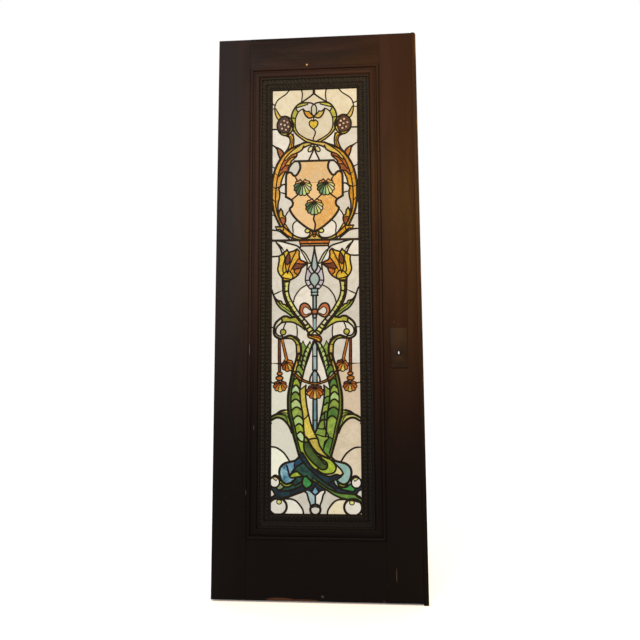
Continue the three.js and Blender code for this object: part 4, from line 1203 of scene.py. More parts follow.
def bodies():
    tint_both("cream", (-30, 800), (-30, 900), (-27, 1000), (-27, 960), (-60, 1095), (-56, 1070), (-28, 860))
    both(
        THICK, (-82, 1008), (-86, 995), (-92, 980), (-102, 950), (-112, 912), (-118, 880), (-124, 848),
        (-127, 820), (-127, 795), (-126, 765), (-121, 738), (-114, 715), (-107, 690), (-103, 662),
        (-95, 635), (-87, 607), (-79, 578),
    )
    both(
        THIN, (-70, 1010), (-77, 985), (-88, 950), (-99, 912), (-106, 875), (-112, 840), (-114, 800),
        (-112, 765), (-105, 730), (-97, 700), (-90, 665), (-82, 630), (-72, 595),
    )
    both(MAIN, (-33, 1060), (-42, 1040), (-53, 1020), (-60, 998), (-66, 975), (-72, 950))
    both(THIN, (-16, 1062), (-28, 1035), (-38, 1010), (-48, 980), (-55, 950), (-62, 920))
    both(MAIN, (-12, 1058), (-24, 1035), (-35, 1000), (-44, 975), (-53, 950), (-60, 925), (-66, 900))
    collar = (
        (1044, -40, -25), (1026, -50, -32), (1008, -57, -39), (989, -62, -45), (970, -67, -50),
        (950, -72, -55),
    )
    for z, a, b in collar:
        both(FINE, (a, z), ((a + b) / 2, z + 9), (b, z - 4))
        tint_both("pale_green", ((a + b) / 2 + 1, z - 4))
    both(FINE, (-62, 1060), (-56, 1046), (-48, 1034))
    both(FINE, (-62, 1060), (-70, 1046), (-73, 1030))
    tint_both("leaf_green", (-66, 1030))
    left_rows = (
        ((-90, 948), (-63, 938)), ((-97, 920), (-68, 908)), ((-103, 892), (-74, 880)),
        ((-106, 862), (-76, 852)), ((-111, 832), (-75, 826)), ((-113, 800), (-72, 796)),
        ((-112, 766), (-66, 764)), ((-104, 730), (-62, 728)), ((-97, 698), (-60, 694)),
        ((-90, 664), (-57, 662)),
    )
    shoulders = (((-82, 1004), (-64, 992)), ((-86, 976), (-70, 966)))
    scale_column(THIN, shoulders, ("mint", "pale_green"), 12)
    scale_column(THIN, mirrored_rows(shoulders), ("mint", "leaf_green"), 12)
    scale_column(MAIN, left_rows, ("leaf_green", "pale_green", "lime", "mint", "leaf_green", "pale_green"))
    right_names = ("grass", "jade", "grass", "leaf_green", "pale_green", "leaf_green", "grass", "leaf_green")
    scale_column(MAIN, mirrored_rows(left_rows[:8]), right_names)
    both(
        MAIN, (-66, 900), (-72, 880), (-76, 852), (-75, 826), (-72, 796), (-66, 764), (-62, 728), (-60, 694),
        (-57, 662),
    )
    lead(
        MAIN, (-50, 872), (-52, 850), (-50, 815), (-45, 778), (-37, 740), (-30, 714), (-22, 690), (-12, 670),
        (0, 648),
    )
    lead(
        MAIN, (26, 872), (28, 850), (26, 815), (20, 778), (12, 740), (4, 712), (-4, 692), (-12, 676),
        (-14, 669),
    )
    lead(THIN, (-76, 852), (-64, 862), (-50, 872))
    lead(THIN, (52, 852), (40, 862), (26, 872))
    lead(THIN, (-62, 728), (-46, 742), (-40, 752))
    lead(MAIN, (28, 790), (40, 800), (51, 796))
    lead(MAIN, (14, 745), (28, 760), (42, 764))
    lead(MAIN, (6, 716), (18, 728), (38, 728))
    lead(THIN, (26, 815), (40, 826), (51, 826))
    region(
        ("dark_green", "moss"), (-82, 1008), (-112, 912), (-127, 820), (-121, 738), (-103, 662), (-79, 578),
        (-72, 595), (-90, 665), (-105, 730), (-114, 800), (-106, 875), (-88, 950), (-70, 1010),
    )
    region(
        ("olive", "moss"), (-24, 1008), (88, 912), (103, 820), (97, 738), (79, 662), (55, 578), (48, 595),
        (66, 665), (81, 730), (90, 800), (82, 875), (64, 950), (46, 1010),
    )
    region(
        ("belly_yellow",), (-66, 900), (-76, 852), (-66, 764), (-60, 694), (-57, 662), (-37, 640), (-12, 600),
        (48, 575), (20, 600), (0, 648), (-37, 740), (-50, 815), (-50, 872),
    )
    region(
        ("lime", "mint", "leaf_green"), (-60, 1060), (-115, 900), (-127, 800), (-105, 690), (-80, 580),
        (-40, 640), (-60, 700), (-70, 830), (-50, 980),
    )
    region(
        ("grass", "leaf_green", "lime", "jade"), (36, 1060), (91, 900), (103, 800), (81, 690), (56, 580),
        (0, 640), (-10, 676), (26, 830), (26, 980),
    )
    tint("belly_yellow", (-62, 830), (-58, 780), (-48, 720))
    tint("leaf_green", (38, 842), (33, 780))
    tint("grass", (36, 812))


def fins():
    both(FINE, (-79, 580), (-70, 594))
    both(THICK, (-125, 772), (-147, 767), (-162, 762), (-175, 752), (-190, 745), (-216, 728))
    both(
        THICK, (-216, 714), (-190, 731), (-177, 737), (-162, 737), (-147, 730), (-132, 716), (-119, 697),
        (-110, 674),
    )
    for share in (0.25, 0.5, 0.75):
        start = (-126, 772 - 70 * share)
        mid = (-142, 764 - 24 * share)
        both(FINE, start, mid, (-166 - 14 * share, 758 - 12 * share))
    region_both(
        ("leaf_green", "lemon", "sprig"), (-120, 778), (-162, 768), (-195, 750), (-216, 732), (-216, 712),
        (-177, 735), (-147, 728), (-108, 670),
    )
    both(MAIN, (-216, 617), (-182, 615), (-162, 606), (-144, 592), (-132, 577), (-121, 560))


def heads():
    lead(THICK, (-57, 662), (-44, 650), (-37, 636), (-24, 614), (-6, 594), (14, 582), (43, 571), (56, 578))
    lead(MAIN, (0, 648), (6, 624), (20, 601), (33, 586), (48, 575))
    lead(MAIN, (-39, 648), (-10, 652), (0, 648))
    lead(MAIN, (-37, 636), (-72, 640), (-90, 662))
    lead(MAIN, (-57, 662), (-60, 620), (-52, 590), (-30, 560), (-8, 540), (4, 530))
    lead(MAIN, (-79, 578), (-60, 552), (-44, 534), (-30, 520), (-12, 505), (8, 488), (38, 466), (70, 445))
    lead(
        MAIN, (-64, 592), (-44, 560), (-28, 538), (-14, 526), (6, 512), (22, 502), (48, 497), (75, 505),
        (92, 500),
    )
    lead(
        MAIN, (43, 571), (58, 560), (70, 547), (75, 532), (68, 515), (50, 507), (25, 507), (8, 515),
        (-4, 527),
    )
    lead(MAIN, (4, 530), (18, 524), (33, 527), (39, 538), (36, 552), (20, 566), (4, 580))
    lead(THIN, (-20, 600), (-2, 580), (14, 562), (28, 545))
    lead(THIN, (28, 760), (28, 700), (44, 660), (30, 630), (20, 601))
    lead(THIN, (4, 692), (24, 690), (28, 700))
    lead(THIN, (-2, 668), (20, 660), (44, 660))
    lead(THIN, (60, 650), (44, 660))
    lead(THIN, (45, 652), (30, 640), (24, 622))
    tint("mint", (52, 700), (50, 740))
    region(
        ("dark_green",), (-57, 662), (-60, 620), (-30, 560), (4, 530), (33, 527), (36, 552), (14, 582),
        (-24, 614), (-37, 636),
    )
    region(
        ("lime",), (-12, 527), (8, 513), (50, 505), (75, 530), (60, 560), (43, 571), (36, 552), (33, 527),
        (4, 530),
    )
    tint("moss", (-40, 600), (-50, 620))
    tint("dark_green", (10, 552), (20, 535), (-10, 575))
    tint("lime", (55, 530), (60, 545), (15, 517))
    tint("leaf_green", (-70, 608), (-57, 592))
    tint("navy", (-42, 547), (0, 503), (-20, 518), (40, 478), (80, 446))
    tint("cream_yellow", (30, 500), (60, 500), (-8, 520))
    tint("leaf_green", (14, 645), (32, 680))
    tint("pale_green", (8, 672))
    tint("grass", (44, 690), (40, 640))
    tint("deep_blue", (-62, 568), (-40, 538))
    both(
        THICK, (-79, 576), (-95, 561), (-117, 555), (-137, 550), (-152, 540), (-161, 525), (-162, 505),
        (-155, 483), (-145, 470), (-130, 465), (-114, 470), (-104, 478),
    )
    lead(MAIN, (-62, 552), (-76, 545), (-96, 530), (-110, 512), (-120, 497))
    lead(MAIN, (-120, 497), (-112, 490), (-99, 491), (-78, 495), (-60, 495), (-44, 500))
    lead(MAIN, (-120, 497), (-105, 511), (-87, 515), (-75, 505), (-60, 495))
    lead(MAIN, (-104, 478), (-96, 484), (-99, 491))
    lead(MAIN, (-137, 550), (-128, 530), (-120, 497))
    lead(THIN, (-96, 561), (-100, 540), (-96, 530))
    region(
        ("sky",), (-79, 576), (-137, 550), (-162, 515), (-145, 470), (-104, 478), (-120, 497), (-96, 530),
        (-62, 552),
    )
    tint("lake", (-140, 500), (-150, 490))
    tint("sky", (-118, 535), (-145, 525))
    tint("deep_blue", (-86, 556), (-112, 482))
    tint("lime", (-95, 503), (-82, 505))
    tint("dark_teal", (-70, 525), (-84, 535), (-60, 515))
    lead(MAIN, (56, 573), (66, 555), (80, 540), (96, 524), (104, 508), (92, 500))
    lead(MAIN, (104, 508), (96, 497), (84, 488), (75, 483))
    region(("pale_teal",), (56, 578), (113, 550), (138, 515), (131, 483), (104, 508), (80, 540), (66, 555))
    tint("pale_teal", (112, 530))
    tint("sea", (72, 550))


def tails():
    lead(MAIN, (-104, 478), (-108, 463), (-124, 454), (-142, 455), (-155, 466))
    lead(MAIN, (80, 478), (84, 463), (100, 454), (118, 455), (131, 466))
    tint_both("lime", (-128, 460))
    both(MAIN, (-155, 483), (-168, 496), (-180, 500), (-192, 494))
    ring_both(MAIN, (-182, 472), 21, 22)
    both(MAIN, (-203, 472), (-216, 470))
    tint_both("white", (-184, 468))
    both(FINE, (-168, 489), (-176, 478), (-188, 486))
    tint_both("cream_yellow", (-176, 489))
    lead(MAIN, (-60, 495), (-66, 478), (-64, 460), (-50, 446), (-32, 457), (-24, 470), (-37, 485), (-50, 497))
    tint("emerald", (-44, 470), (-50, 480))
    lead(
        MAIN, (-37, 485), (-22, 478), (-7, 470), (13, 456), (38, 440), (63, 424), (90, 412), (113, 406),
        (150, 399), (216, 382),
    )
    lead(
        MAIN, (-22, 490), (0, 475), (24, 460), (46, 446), (80, 432), (112, 428), (150, 425), (176, 414),
        (216, 396),
    )
    lead(MAIN, (38, 466), (63, 480), (84, 488))
    lead(MAIN, (63, 480), (71, 463), (88, 453), (110, 455), (121, 467), (131, 483))
    tint("lime", (80, 470), (100, 462))
    lead(THICK, (-52, 441), (-70, 433), (-87, 427), (-119, 415), (-137, 410), (-170, 404), (-216, 396))
    lead(MAIN, (-66, 478), (-90, 462), (-108, 463))
    lead(MAIN, (-64, 460), (-90, 448), (-115, 440), (-142, 436), (-165, 440), (-180, 452))
    lead(THIN, (-142, 455), (-150, 446), (-165, 440))
    region(
        ("navy", "dark_teal"), (-60, 495), (-104, 478), (-142, 436), (-180, 440), (-216, 410), (-216, 396),
        (-137, 410), (-52, 441),
    )
    region(
        ("navy", "dark_teal", "dark_green"), (-30, 520), (-50, 497), (-20, 478), (38, 440), (113, 406),
        (216, 382), (216, 396), (176, 430), (135, 470), (100, 454), (60, 482), (92, 500), (48, 497), (0, 515),
    )
    tint("navy", (-100, 432), (-140, 423), (-60, 446), (-175, 418))
    tint("sage", (-158, 446), (-150, 450))
    tint("grass", (20, 452), (60, 432), (0, 466), (100, 418))
    tint("emerald", (120, 444), (150, 432))
    lead(MAIN, (80, 450), (110, 442), (142, 436), (150, 441), (158, 452))
    both(MAIN, (-216, 448), (-192, 440), (-180, 421), (-192, 412), (-216, 405))
    tint_both("white", (-200, 428))


def foot():
    ring_both(THICK, (-168, 373), 37, 34)
    ring_both(FINE, (-163, 392), 10, 9)
    tint_both("lemon", (-163, 392))
    tint_both("white", (-170, 366))
    both(MAIN, (-140, 404), (-112, 404), (-92, 396), (-75, 378), (-63, 357), (-61, 330))
    tint("warm_cream", (90, 375))
    lead(MAIN, (-60, 437), (-47, 427), (-40, 402), (-32, 380), (-34, 366))
    lead(MAIN, (28, 432), (20, 420), (16, 402), (8, 380), (10, 366))
    both(MAIN, (-12, 461), (-20, 446), (-28, 434), (-20, 426), (-12, 420))
    both(THIN, (-28, 434), (-40, 440), (-52, 441))
    lead(MAIN, (-12, 420), (-12, 384))
    both(THIN, (-34, 380), (-12, 386))
    tint("sky", (-12, 440))
    tint("blue_grey", (-26, 405), (-36, 425))
    tint("white", (3, 405), (14, 425))
    ring(THICK, (-12, 362), 21, 21)
    lead(THIN, (-30, 370), (-12, 374), (6, 370))
    tint("white", (-12, 360))
    tint("blue_grey", (-12, 379))


for motif in (
    heart_and_leaves, pomegranates, wreath, shield, ribbon_band, tablet, spear, tulips, stalks, bow, scrolls,
    tassels, shaft, bodies, fins, heads, tails, foot,
):
    motif()


# The glasses: each one's ground, the streak that runs through it and its family
PALETTE = {
    "cream": ((227, 224, 210), (213, 207, 190), "pale"),
    "warm_cream": ((233, 223, 191), (220, 207, 172), "pale"),
    "white": ((232, 229, 214), (218, 216, 204), "pale"),
    "green_white": ((230, 232, 213), (236, 236, 216), "pale"),
    "heart_cream": ((220, 212, 184), (208, 192, 154), "pale"),
    "beige": ((220, 207, 181), (206, 191, 162), "pale"),
    "pink_beige": ((210, 190, 164), (216, 198, 172), "pale"),
    "cream_green": ((216, 214, 180), (200, 196, 160), "pale"),
    "cream_yellow": ((226, 216, 160), (214, 206, 128), "pale"),
    "lilac": ((190, 184, 192), (204, 200, 202), "pale"),
    "rose": ((222, 190, 160), (206, 164, 132), "pale"),
    "peach": ((228, 196, 146), (237, 190, 124), "warm"),
    "deep_peach": ((243, 194, 116), (238, 174, 88), "warm"),
    "apricot": ((228, 176, 112), (196, 120, 56), "warm"),
    "yellow": ((232, 206, 66), (226, 172, 40), "warm"),
    "pale_gold": ((218, 196, 104), (206, 168, 66), "warm"),
    "wreath_gold": ((226, 172, 46), (214, 140, 34), "warm"),
    "gold": ((224, 152, 36), (230, 184, 54), "warm"),
    "amber": ((206, 130, 38), (160, 84, 26), "warm"),
    "orange": ((200, 104, 32), (218, 140, 44), "warm"),
    "rust": ((140, 66, 24), (188, 98, 34), "warm"),
    "ribbon_rust": ((186, 100, 60), (214, 140, 96), "warm"),
    "seed_brown": ((58, 36, 26), (88, 54, 36), "warm"),
    "garnet": ((92, 42, 22), (126, 62, 32), "warm"),
    "belly_yellow": ((216, 203, 98), (198, 174, 62), "warm"),
    "lemon": ((224, 224, 136), (206, 206, 92), "green"),
    "sprig": ((196, 190, 72), (158, 162, 58), "green"),
    "lime": ((178, 196, 62), (140, 168, 54), "green"),
    "leaf_green": ((150, 174, 74), (112, 144, 60), "green"),
    "grass": ((104, 148, 64), (70, 116, 46), "green"),
    "pale_green": ((190, 212, 142), (148, 186, 92), "green"),
    "mint": ((164, 200, 138), (206, 220, 170), "green"),
    "olive_gold": ((176, 158, 62), (146, 136, 52), "green"),
    "olive": ((120, 128, 48), (88, 100, 38), "green"),
    "moss": ((72, 96, 40), (46, 68, 30), "green"),
    "fern": ((52, 96, 62), (96, 140, 96), "green"),
    "jade": ((112, 156, 112), (170, 196, 150), "green"),
    "dark_green": ((38, 60, 30), (64, 86, 36), "green"),
    "sage": ((126, 142, 106), (150, 160, 112), "green"),
    "emerald": ((72, 160, 82), (40, 118, 62), "green"),
    "spear_grey": ((182, 200, 192), (160, 186, 184), "blue"),
    "blue_grey": ((142, 172, 174), (170, 192, 192), "blue"),
    "shaft_blue": ((140, 168, 172), (162, 186, 188), "blue"),
    "deep_shaft": ((96, 142, 152), (124, 162, 170), "blue"),
    "sky": ((136, 176, 200), (70, 128, 160), "blue"),
    "sea": ((44, 108, 140), (90, 156, 184), "blue"),
    "lake": ((38, 102, 130), (150, 196, 212), "blue"),
    "pale_teal": ((140, 186, 176), (172, 206, 196), "blue"),
    "deep_blue": ((26, 62, 92), (50, 100, 130), "blue"),
    "dark_teal": ((22, 50, 50), (46, 88, 70), "blue"),
    "navy": ((18, 32, 42), (30, 60, 72), "blue"),
}
# The sheet runs a little way behind the carved band, and is parted in two at the joint bar
HIDDEN = 8.9
BAR_Z = 1499.8
EDGE = {
    "x0": SHEET["x0"] - HIDDEN,
    "x1": SHEET["x1"] + HIDDEN,
    "z0": SHEET["z0"] - HIDDEN,
    "z1": SHEET["z1"] + HIDDEN,
}
# A stroke is parted where it turns further than this
SHARP_TURN = math.radians(58)
# How finely a curve is stepped, how far it may stray when it is thinned, how far a loose end reaches for the
# next line and goes over it, how near it counts as on it, and how near two points are one
CURVE_STEP = 3
CURVE_PLAY = 0.16
JOIN_REACH = 12.0
JOIN_OVERLAP = 0.4
ON_LINE = 0.05
WELD = 0.02
TINY = 1e-6
FAR_OFF = 1e9


def turn_at(a, b, c):
    """How far a line turns at b on its way from a to c."""
    first = Vector(b) - Vector(a)
    second = Vector(c) - Vector(b)
    if first.length < TINY or second.length < TINY:
        return 0.0
    return abs(first.angle(second))


def smooth_run(points):
    """A curve through the points of one run, which has no sharp corner."""
    if len(points) < 3:
        return points
    closed = points[0] == points[-1]
    before = points[-2] if closed else points[0]
    after = points[1] if closed else points[-1]
    posts = [Vector(p) for p in (before, *points, after)]
    curve = []
    for i in range(1, len(posts) - 2):
        p0, p1, p2, p3 = posts[i - 1 : i + 3]
        steps = max(2, int((p2 - p1).length / CURVE_STEP))
        squared = 2 * p0 - 5 * p1 + 4 * p2 - p3
        cubed = 3 * p1 - p0 - 3 * p2 + p3
        for k in range(steps):
            t = k / steps
            curve.append(0.5 * (2 * p1 + (p2 - p0) * t + squared * t * t + cubed * t ** 3))
    curve.append(posts[-2])
    return [(p.x, p.y) for p in thinned(curve, CURVE_PLAY)]


def thinned(points, tolerance):
    """The points of a curve that its shape needs."""
    if len(points) < 3:
        return points
    a, b = points[0], points[-1]
    chord = b - a
    worst, at = 0.0, 0
    for i, p in enumerate(points):
        off = p - a
        far = abs(chord.x * off.y - chord.y * off.x) / chord.length if chord.length > TINY else off.length
        if far > worst:
            worst, at = far, i
    if worst <= tolerance:
        return [a, b]
    return thinned(points[: at + 1], tolerance)[:-1] + thinned(points[at:], tolerance)


def runs_of(points):
    """A stroke's smooth runs, parted at its sharp corners."""
    runs = [[points[0]]]
    for i in range(1, len(points)):
        runs[-1].append(points[i])
        if i < len(points) - 1 and turn_at(points[i - 1], points[i], points[i + 1]) > SHARP_TURN:
            runs.append([points[i]])
    return [smooth_run(run) for run in runs]


def inside_outline(point, outline):
    """Whether a point lies inside an outline, by counting the sides to its right."""
    x, z = point
    odd = False
    for (ax, az), (bx, bz) in zip(outline, outline[1:] + outline[:1]):
        if (az > z) != (bz > z) and x < (bx - ax) * (z - az) / (bz - az) + ax:
            odd = not odd
    return odd


def on_sheet(point):
    """A point kept within the sheet's edge, to a hundredth of a millimetre."""
    x = min(max(point[0], EDGE["x0"]), EDGE["x1"])
    z = min(max(point[1], EDGE["z0"]), EDGE["z1"])
    return (round(x, 2), round(z, 2))


border = [(SHEET[x], SHEET[z]) for x, z in CORNERS]
border_index = len(strokes)
lead(BORDER, *border, border[0])


def joined_up(drawn):
    """Curves whose loose ends are drawn on to the nearest line within reach, and just over it."""
    starts, ends, owners = [], [], []
    for i, (_, points, _) in enumerate(drawn):
        for a, b in zip(points, points[1:]):
            starts.append(a)
            ends.append(b)
            owners.append(i)
    starts = np.array(starts)
    along = np.array(ends) - starts
    owners = np.array(owners)
    squared = np.maximum((along ** 2).sum(1), TINY ** 2)
    finished = []
    for i, (width, points, index) in enumerate(drawn):
        points = list(points)
        for last in () if points[0] == points[-1] else (False, True):
            end = np.array(points[-1] if last else points[0])
            share = np.clip(((end - starts) * along).sum(1) / squared, 0, 1)
            nearest = starts + along * share[:, None]
            far = np.hypot(*(nearest - end).T)
            far[owners == i] = FAR_OFF
            best = int(far.argmin())
            if far[best] < JOIN_REACH:
                before = np.array(points[-2] if last else points[1])
                way = nearest[best] - end if far[best] > ON_LINE else end - before
                over = nearest[best] + way / max(float(np.hypot(*way)), TINY) * JOIN_OVERLAP
                points.insert(len(points) if last else 0, on_sheet(over))
        finished.append((width, points, index))
    return finished


curves = []
for index, (width, points) in enumerate(strokes):
    for run in runs_of(points):
        curves.append((width, [on_sheet(p) for p in run], index))
curves = joined_up(curves)


def part_the_sheet():
    """The sheet parted along every line into cells, and the places where lines meet."""
    places = {}
    coordinates = []
    edges = []
    widths = []

    def vertex(point):
        if point not in places:
            places[point] = len(coordinates)
            coordinates.append(Vector(point))
        return places[point]

    outer = [on_sheet((EDGE[x], EDGE[z])) for x, z in CORNERS]
    halves = [on_sheet((EDGE["x0"], BAR_Z)), on_sheet((EDGE["x1"], BAR_Z))]
    inner_curves = [(width, points) for width, points, index in curves if index != border_index]
    for width, points in [*inner_curves, (0.0, [*outer, outer[0]]), (0.0, halves)]:
        for a, b in zip(points, points[1:]):
            if a != b:
                edges.append((vertex(a), vertex(b)))
                widths.append(width)
    verts, lines, faces, _, origins, _ = geometry.delaunay_2d_cdt(coordinates, edges, [], 0, WELD)
    barrier = {}
    for (a, b), origin in zip(lines, origins):
        if origin:
            barrier[frozenset((a, b))] = max(widths[i] for i in origin)
    owner = {}
    neighbours = [[] for _ in faces]
    for i, face in enumerate(faces):
        for a, b in zip(face, face[1:] + face[:1]):
            key = frozenset((a, b))
            if key in barrier:
                continue
            if key in owner:
                neighbours[i].append(owner[key])
                neighbours[owner[key]].append(i)
            owner[key] = i
    cells = []
    seen = set()
    for i in range(len(faces)):
        if i in seen:
            continue
        seen.add(i)
        cell, todo = [], [i]
        while todo:
            at = todo.pop()
            cell.append(faces[at])
            for other in neighbours[at]:
                if other not in seen:
                    seen.add(other)
                    todo.append(other)
        cells.append(cell)
    meeting = {}
    for key, width in barrier.items():
        for v in key:
            meeting.setdefault(v, []).append(width)
    joints = [(verts[v], max(met)) for v, met in meeting.items() if len(met) != 2 and max(met) > 0]
    return verts, cells, joints


def area_of(verts, face):
    a, b, c = (verts[i] for i in face)
    return abs((b - a).cross(c - a)) / 2


# Where the ground's glass changes: across the sheet, and the heights from which each glass starts
CORNER_X = -100
GROUND_FROM = {"warm_cream": 1975, "cream": 1000, "pink_beige": 760, "beige": 500, "green_white": 480}


def background(point):
    """The pale glass of the ground, by where it lies on the sheet."""
    x, z = point
    if z >= GROUND_FROM["cream"]:
        return "warm_cream" if z > GROUND_FROM["warm_cream"] else "cream"
    if x < SHEET["axis"]:
        return "green_white" if z > GROUND_FROM["green_white"] or x < CORNER_X else "white"
    if z > GROUND_FROM["pink_beige"]:
        return "pink_beige"
    return "beige" if z > GROUND_FROM["beige"] else "cream"


def colour_cells(verts, cells):
    """Each cell with the name of its glass: from a named spot in it, the motif it is in, or the ground."""
    draw = random.Random(7)
    coloured = []
    for cell in cells:
        big = max(cell, key=lambda face: area_of(verts, face))
        middle = sum((verts[i] for i in big), Vector((0, 0))) / 3
        middle = (middle.x, middle.y)
        name = None
        corners = [[tuple(verts[i]) for i in face] for face in cell]
        for seed_name, spot in seeds:
            if any(inside_outline(spot, face) for face in corners):
                name = seed_name
                break
        pick = draw.random()
        if not name:
            for names, outline in regions:
                if inside_outline(middle, outline):
                    name = names[int(pick * len(names))]
                    break
        coloured.append((name or background(middle), cell))
    return coloured


# How much one cut of a glass is lighter or darker than another, how far apart on the sheet the cuts were, in
# metres, and the area in square millimetres below which a triangle is left out
LIFT = (0.93, 1.05)
CUT_SPREAD = 5
SLIVER = 1e-4


def on_door(x, z):
    """A point of the sheet laid on the sight opening."""
    across = (SIGHT["x1"] - SIGHT["x0"]) / (SHEET["x1"] - SHEET["x0"])
    up = (SIGHT["z1"] - SIGHT["z0"]) / (SHEET["z1"] - SHEET["z0"])
    return SIGHT["x0"] + (x - SHEET["x0"]) * across, SIGHT["z0"] + (z - SHEET["z0"]) * up


def make_glass_pieces(name, verts, cells, node):
    """Pieces of sheet glass, one for each cell, with their own colours."""
    draw = random.Random(name)
    bm = bmesh.new()
    tint_layer = bm.verts.layers.float_color.new("tint")
    streak_layer = bm.verts.layers.float_color.new("streak")
    cut_layer = bm.verts.layers.float_vector.new("cut")
    for colour, cell in cells:
        ground, streak, _ = PALETTE[colour]
        lift = draw.uniform(*LIFT)
        ground = screen(*(min(255, c * lift) for c in ground))
        streak = screen(*(min(255, c * lift) for c in streak))
        cut = Vector([draw.uniform(-CUT_SPREAD, CUT_SPREAD) for _ in range(3)])
        made = {}
        for face in cell:
            for i in face:
                if i not in made:
                    x, z = on_door(*verts[i])
                    made[i] = bm.verts.new((x, GLASS_FRONT, z))
                    made[i][tint_layer] = ground
                    made[i][streak_layer] = streak
                    made[i][cut_layer] = cut
            if area_of(verts, face) > SLIVER:
                bm.faces.new([made[i] for i in face])
    loose = [v for v in bm.verts if not v.link_faces]
    bmesh.ops.delete(bm, geom=loose, context="VERTS")
    drawn = bmesh.ops.extrude_face_region(bm, geom=list(bm.faces))
    for item in drawn["geom"]:
        if isinstance(item, bmesh.types.BMVert):
            item.co.y = GLASS_BACK
    bmesh.ops.recalc_face_normals(bm, faces=bm.faces)
    piece = new_piece(name, bm, glowing_glass, sharp=30.0)
    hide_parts(node)


sheet_verts, sheet_cells, sheet_joints = part_the_sheet()
families = {}
for colour, cell in colour_cells(sheet_verts, sheet_cells):
    height = sum(sheet_verts[i].y for i in cell[0]) / 3
    key = (PALETTE[colour][2], "upper" if height > BAR_Z else "lower")
    families.setdefault(key, []).append((colour, cell))
for (family, half), cells in sorted(families.items()):
    make_glass_pieces(f"{family}_glass_{half}", sheet_verts, cells, "glass_" + half)


# The cames' leaves lie on the glass, and a wider came is rounder. Beads of solder closer than the spacing are
# one bead, which spreads past the came on each side and stands a little above it.
LEAD_MIDDLE = (LEAD_FRONT + LEAD_BACK) / 2
GLASS_HALF = (GLASS_BACK - GLASS_FRONT) / 2
LEAF_THICKNESS = 0.6 * MM
CAME_ROUNDING = 0.26
SOLDER_SPACING = 4.5
SOLDER_SPREAD = 0.4
SOLDER_RISE = 0.25 * MM


def crown_height(width):
    """How far a came's rounded back stands from the middle of the glass."""
    return min(GLASS_HALF + LEAF_THICKNESS + width * CAME_ROUNDING * MM, (LEAD_BACK - LEAD_FRONT) / 2)


def make_cames(name, lines, width):
    """Lead cames of one width: round bars drawn along the lines and pressed to an oval."""
    path = bpy.data.curves.new(name, "CURVE")
    path.dimensions = "3D"
    path.fill_mode = "FULL"
    path.bevel_depth = width / 2 * MM
    path.bevel_resolution = 2
    path.use_fill_caps = True
    for points in lines:
        spline = path.splines.new("POLY")
        closed = points[0] == points[-1] and len(points) > 3
        if closed:
            points = points[:-1]
        spline.points.add(len(points) - 1)
        for post, (x, z) in zip(spline.points, points):
            x, z = on_door(x, z)
            post.co = (x, LEAD_MIDDLE, z, 1)
        spline.use_cyclic_u = closed
        spline.use_smooth = True
    drawn = bpy.data.objects.new(name, path)
    bpy.context.scene.collection.objects.link(drawn)
    bm = bmesh.new()
    mesh = drawn.to_mesh()
    bm.from_mesh(mesh)
    drawn.to_mesh_clear()
    bpy.data.objects.remove(drawn)
    bpy.data.curves.remove(path)
    squeeze = crown_height(width) / (width / 2 * MM)
    for vert in bm.verts:
        vert.co.y = LEAD_MIDDLE + (vert.co.y - LEAD_MIDDLE) * squeeze
    return bm


def solder_bead(bm, middle, wide, high):
    """A flattened bead: two poles and three rings of eight."""
    sides = 8
    poles = [bm.verts.new((middle[0], middle[1] + side * high, middle[2])) for side in (-1, 1)]
    rings = []
    for level in (-0.6, 0.0, 0.6):
        reach = wide * math.sqrt(1 - level * level)
        rings.append([
            bm.verts.new((
                middle[0] + reach * math.cos(2 * math.pi * k / sides),
                middle[1] + level * high,
                middle[2] + reach * math.sin(2 * math.pi * k / sides),
            ))
            for k in range(sides)
        ])
    for k in range(sides):
        after = (k + 1) % sides
        bm.faces.new((poles[0], rings[0][k], rings[0][after]))
        bm.faces.new((poles[1], rings[2][after], rings[2][k]))
        for low, top in zip(rings, rings[1:]):
            bm.faces.new((low[k], top[k], top[after], low[after]))


def make_solder(joints):
    """Flattened beads of solder where the cames meet."""
    bm = bmesh.new()
    kept = []
    for spot, width in sorted(joints, key=lambda j: -j[1]):
        if all((spot - other).length > SOLDER_SPACING for other in kept):
            kept.append(spot)
            x, z = on_door(*spot)
            wide = (width / 2 + SOLDER_SPREAD) * MM
            solder_bead(bm, (x, LEAD_MIDDLE, z), wide, crown_height(width) + SOLDER_RISE)
    return bm


LEAD_NODES = ["cames_front_lower", "cames_front_upper", "cames_back_lower", "cames_back_upper"]
by_width = {}
for width, points, _ in curves:
    by_width.setdefault(width, []).append(points)
for number, width in enumerate(sorted(by_width)):
    name = f"cames_width_{number + 1}"
    piece = new_piece(name, make_cames(name, by_width[width], width), lead_metal, sharp=80.0)
    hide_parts(*LEAD_NODES)
piece = new_piece("solder_beads", make_solder(sheet_joints), lead_metal, sharp=80.0)
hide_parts(*LEAD_NODES)


# Floor, light and camera
FLOOR_PLACE = (0.44, 0, cad_bounds[0][2])
SENSOR_WIDTH = 36
PICTURE_WIDTH = 640
FOCAL_PIXELS = 520
CAMERA_PLACE = (0.586044, -2.237116, -0.342492)
CAMERA_TURN = (95.7508, 0.2615, 3.4733)

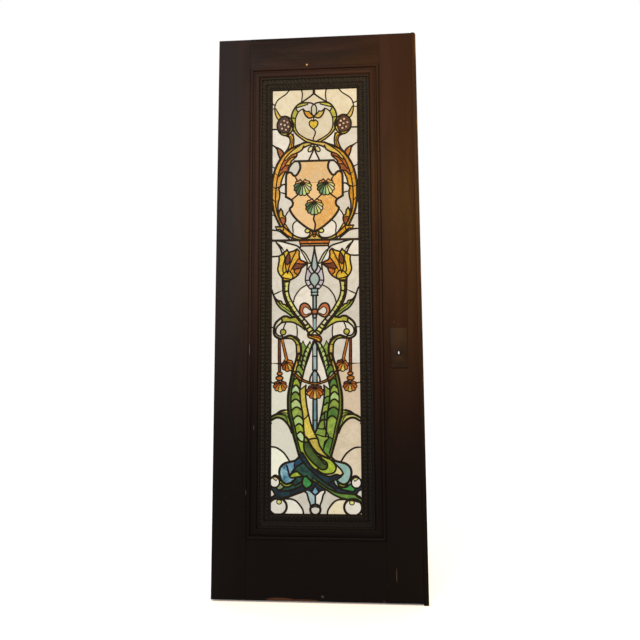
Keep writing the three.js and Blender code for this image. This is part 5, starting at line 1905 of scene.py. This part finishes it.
bpy.ops.mesh.primitive_circle_add(vertices=96, radius=40, fill_type="NGON", location=FLOOR_PLACE)
floor = bpy.context.object
floor.name = "floor"
pale = Finish("pale_floor", Roughness=0.9)
pale.put(Base_Color=(0.9, 0.9, 0.9, 1), Emission_Color=(1, 1, 1, 1), Emission_Strength=0.12)
floor.data.materials.append(pale.material)

world = bpy.data.worlds.new("studio")
bpy.context.scene.world = world
world.use_nodes = True
sky = world.node_tree.nodes["Background"]
sky.inputs["Color"].default_value = (1, 1, 1, 1)
sky.inputs["Strength"].default_value = 1.0


def soft_light(name, centre, target, wide, high, power, colour):
    """A panel of light that faces its target and doesn't show in the picture."""
    data = bpy.data.lights.new(name, "AREA")
    data.shape = "RECTANGLE"
    data.size = wide
    data.size_y = high
    data.energy = power
    data.color = colour
    lamp = bpy.data.objects.new(name, data)
    lamp.location = centre
    lamp.rotation_euler = (Vector(target) - Vector(centre)).to_track_quat("-Z", "Y").to_euler()
    lamp.visible_camera = False
    bpy.context.scene.collection.objects.link(lamp)


soft_light("left_panel", (-0.45, -2.2, 1.35), (0.0, 0, 0.4), 0.6, 1.9, 44, (0.9, 0.95, 1.0))
soft_light("top_panel", (0.3, -2.2, 2.55), (0.4, 0, 1.0), 1.5, 0.5, 14, (1.0, 0.84, 0.72))
soft_light("right_panel", (1.05, -2.2, 1.1), (0.85, 0, 0.4), 0.5, 1.8, 84, (1.0, 0.46, 0.08))
soft_light("right_glow", (1.06, -0.95, 0.8), (0.86, 0, 0.45), 0.24, 0.24, 6, (1.0, 0.7, 0.08))

camera_data = bpy.data.cameras.new("camera")
camera_data.sensor_width = SENSOR_WIDTH
camera_data.lens = FOCAL_PIXELS / PICTURE_WIDTH * SENSOR_WIDTH
camera = bpy.data.objects.new("camera", camera_data)
camera.location = CAMERA_PLACE
camera.rotation_euler = [math.radians(a) for a in CAMERA_TURN]
bpy.context.scene.collection.objects.link(camera)
bpy.context.scene.camera = camera
bpy.context.scene.view_settings.view_transform = "Standard"
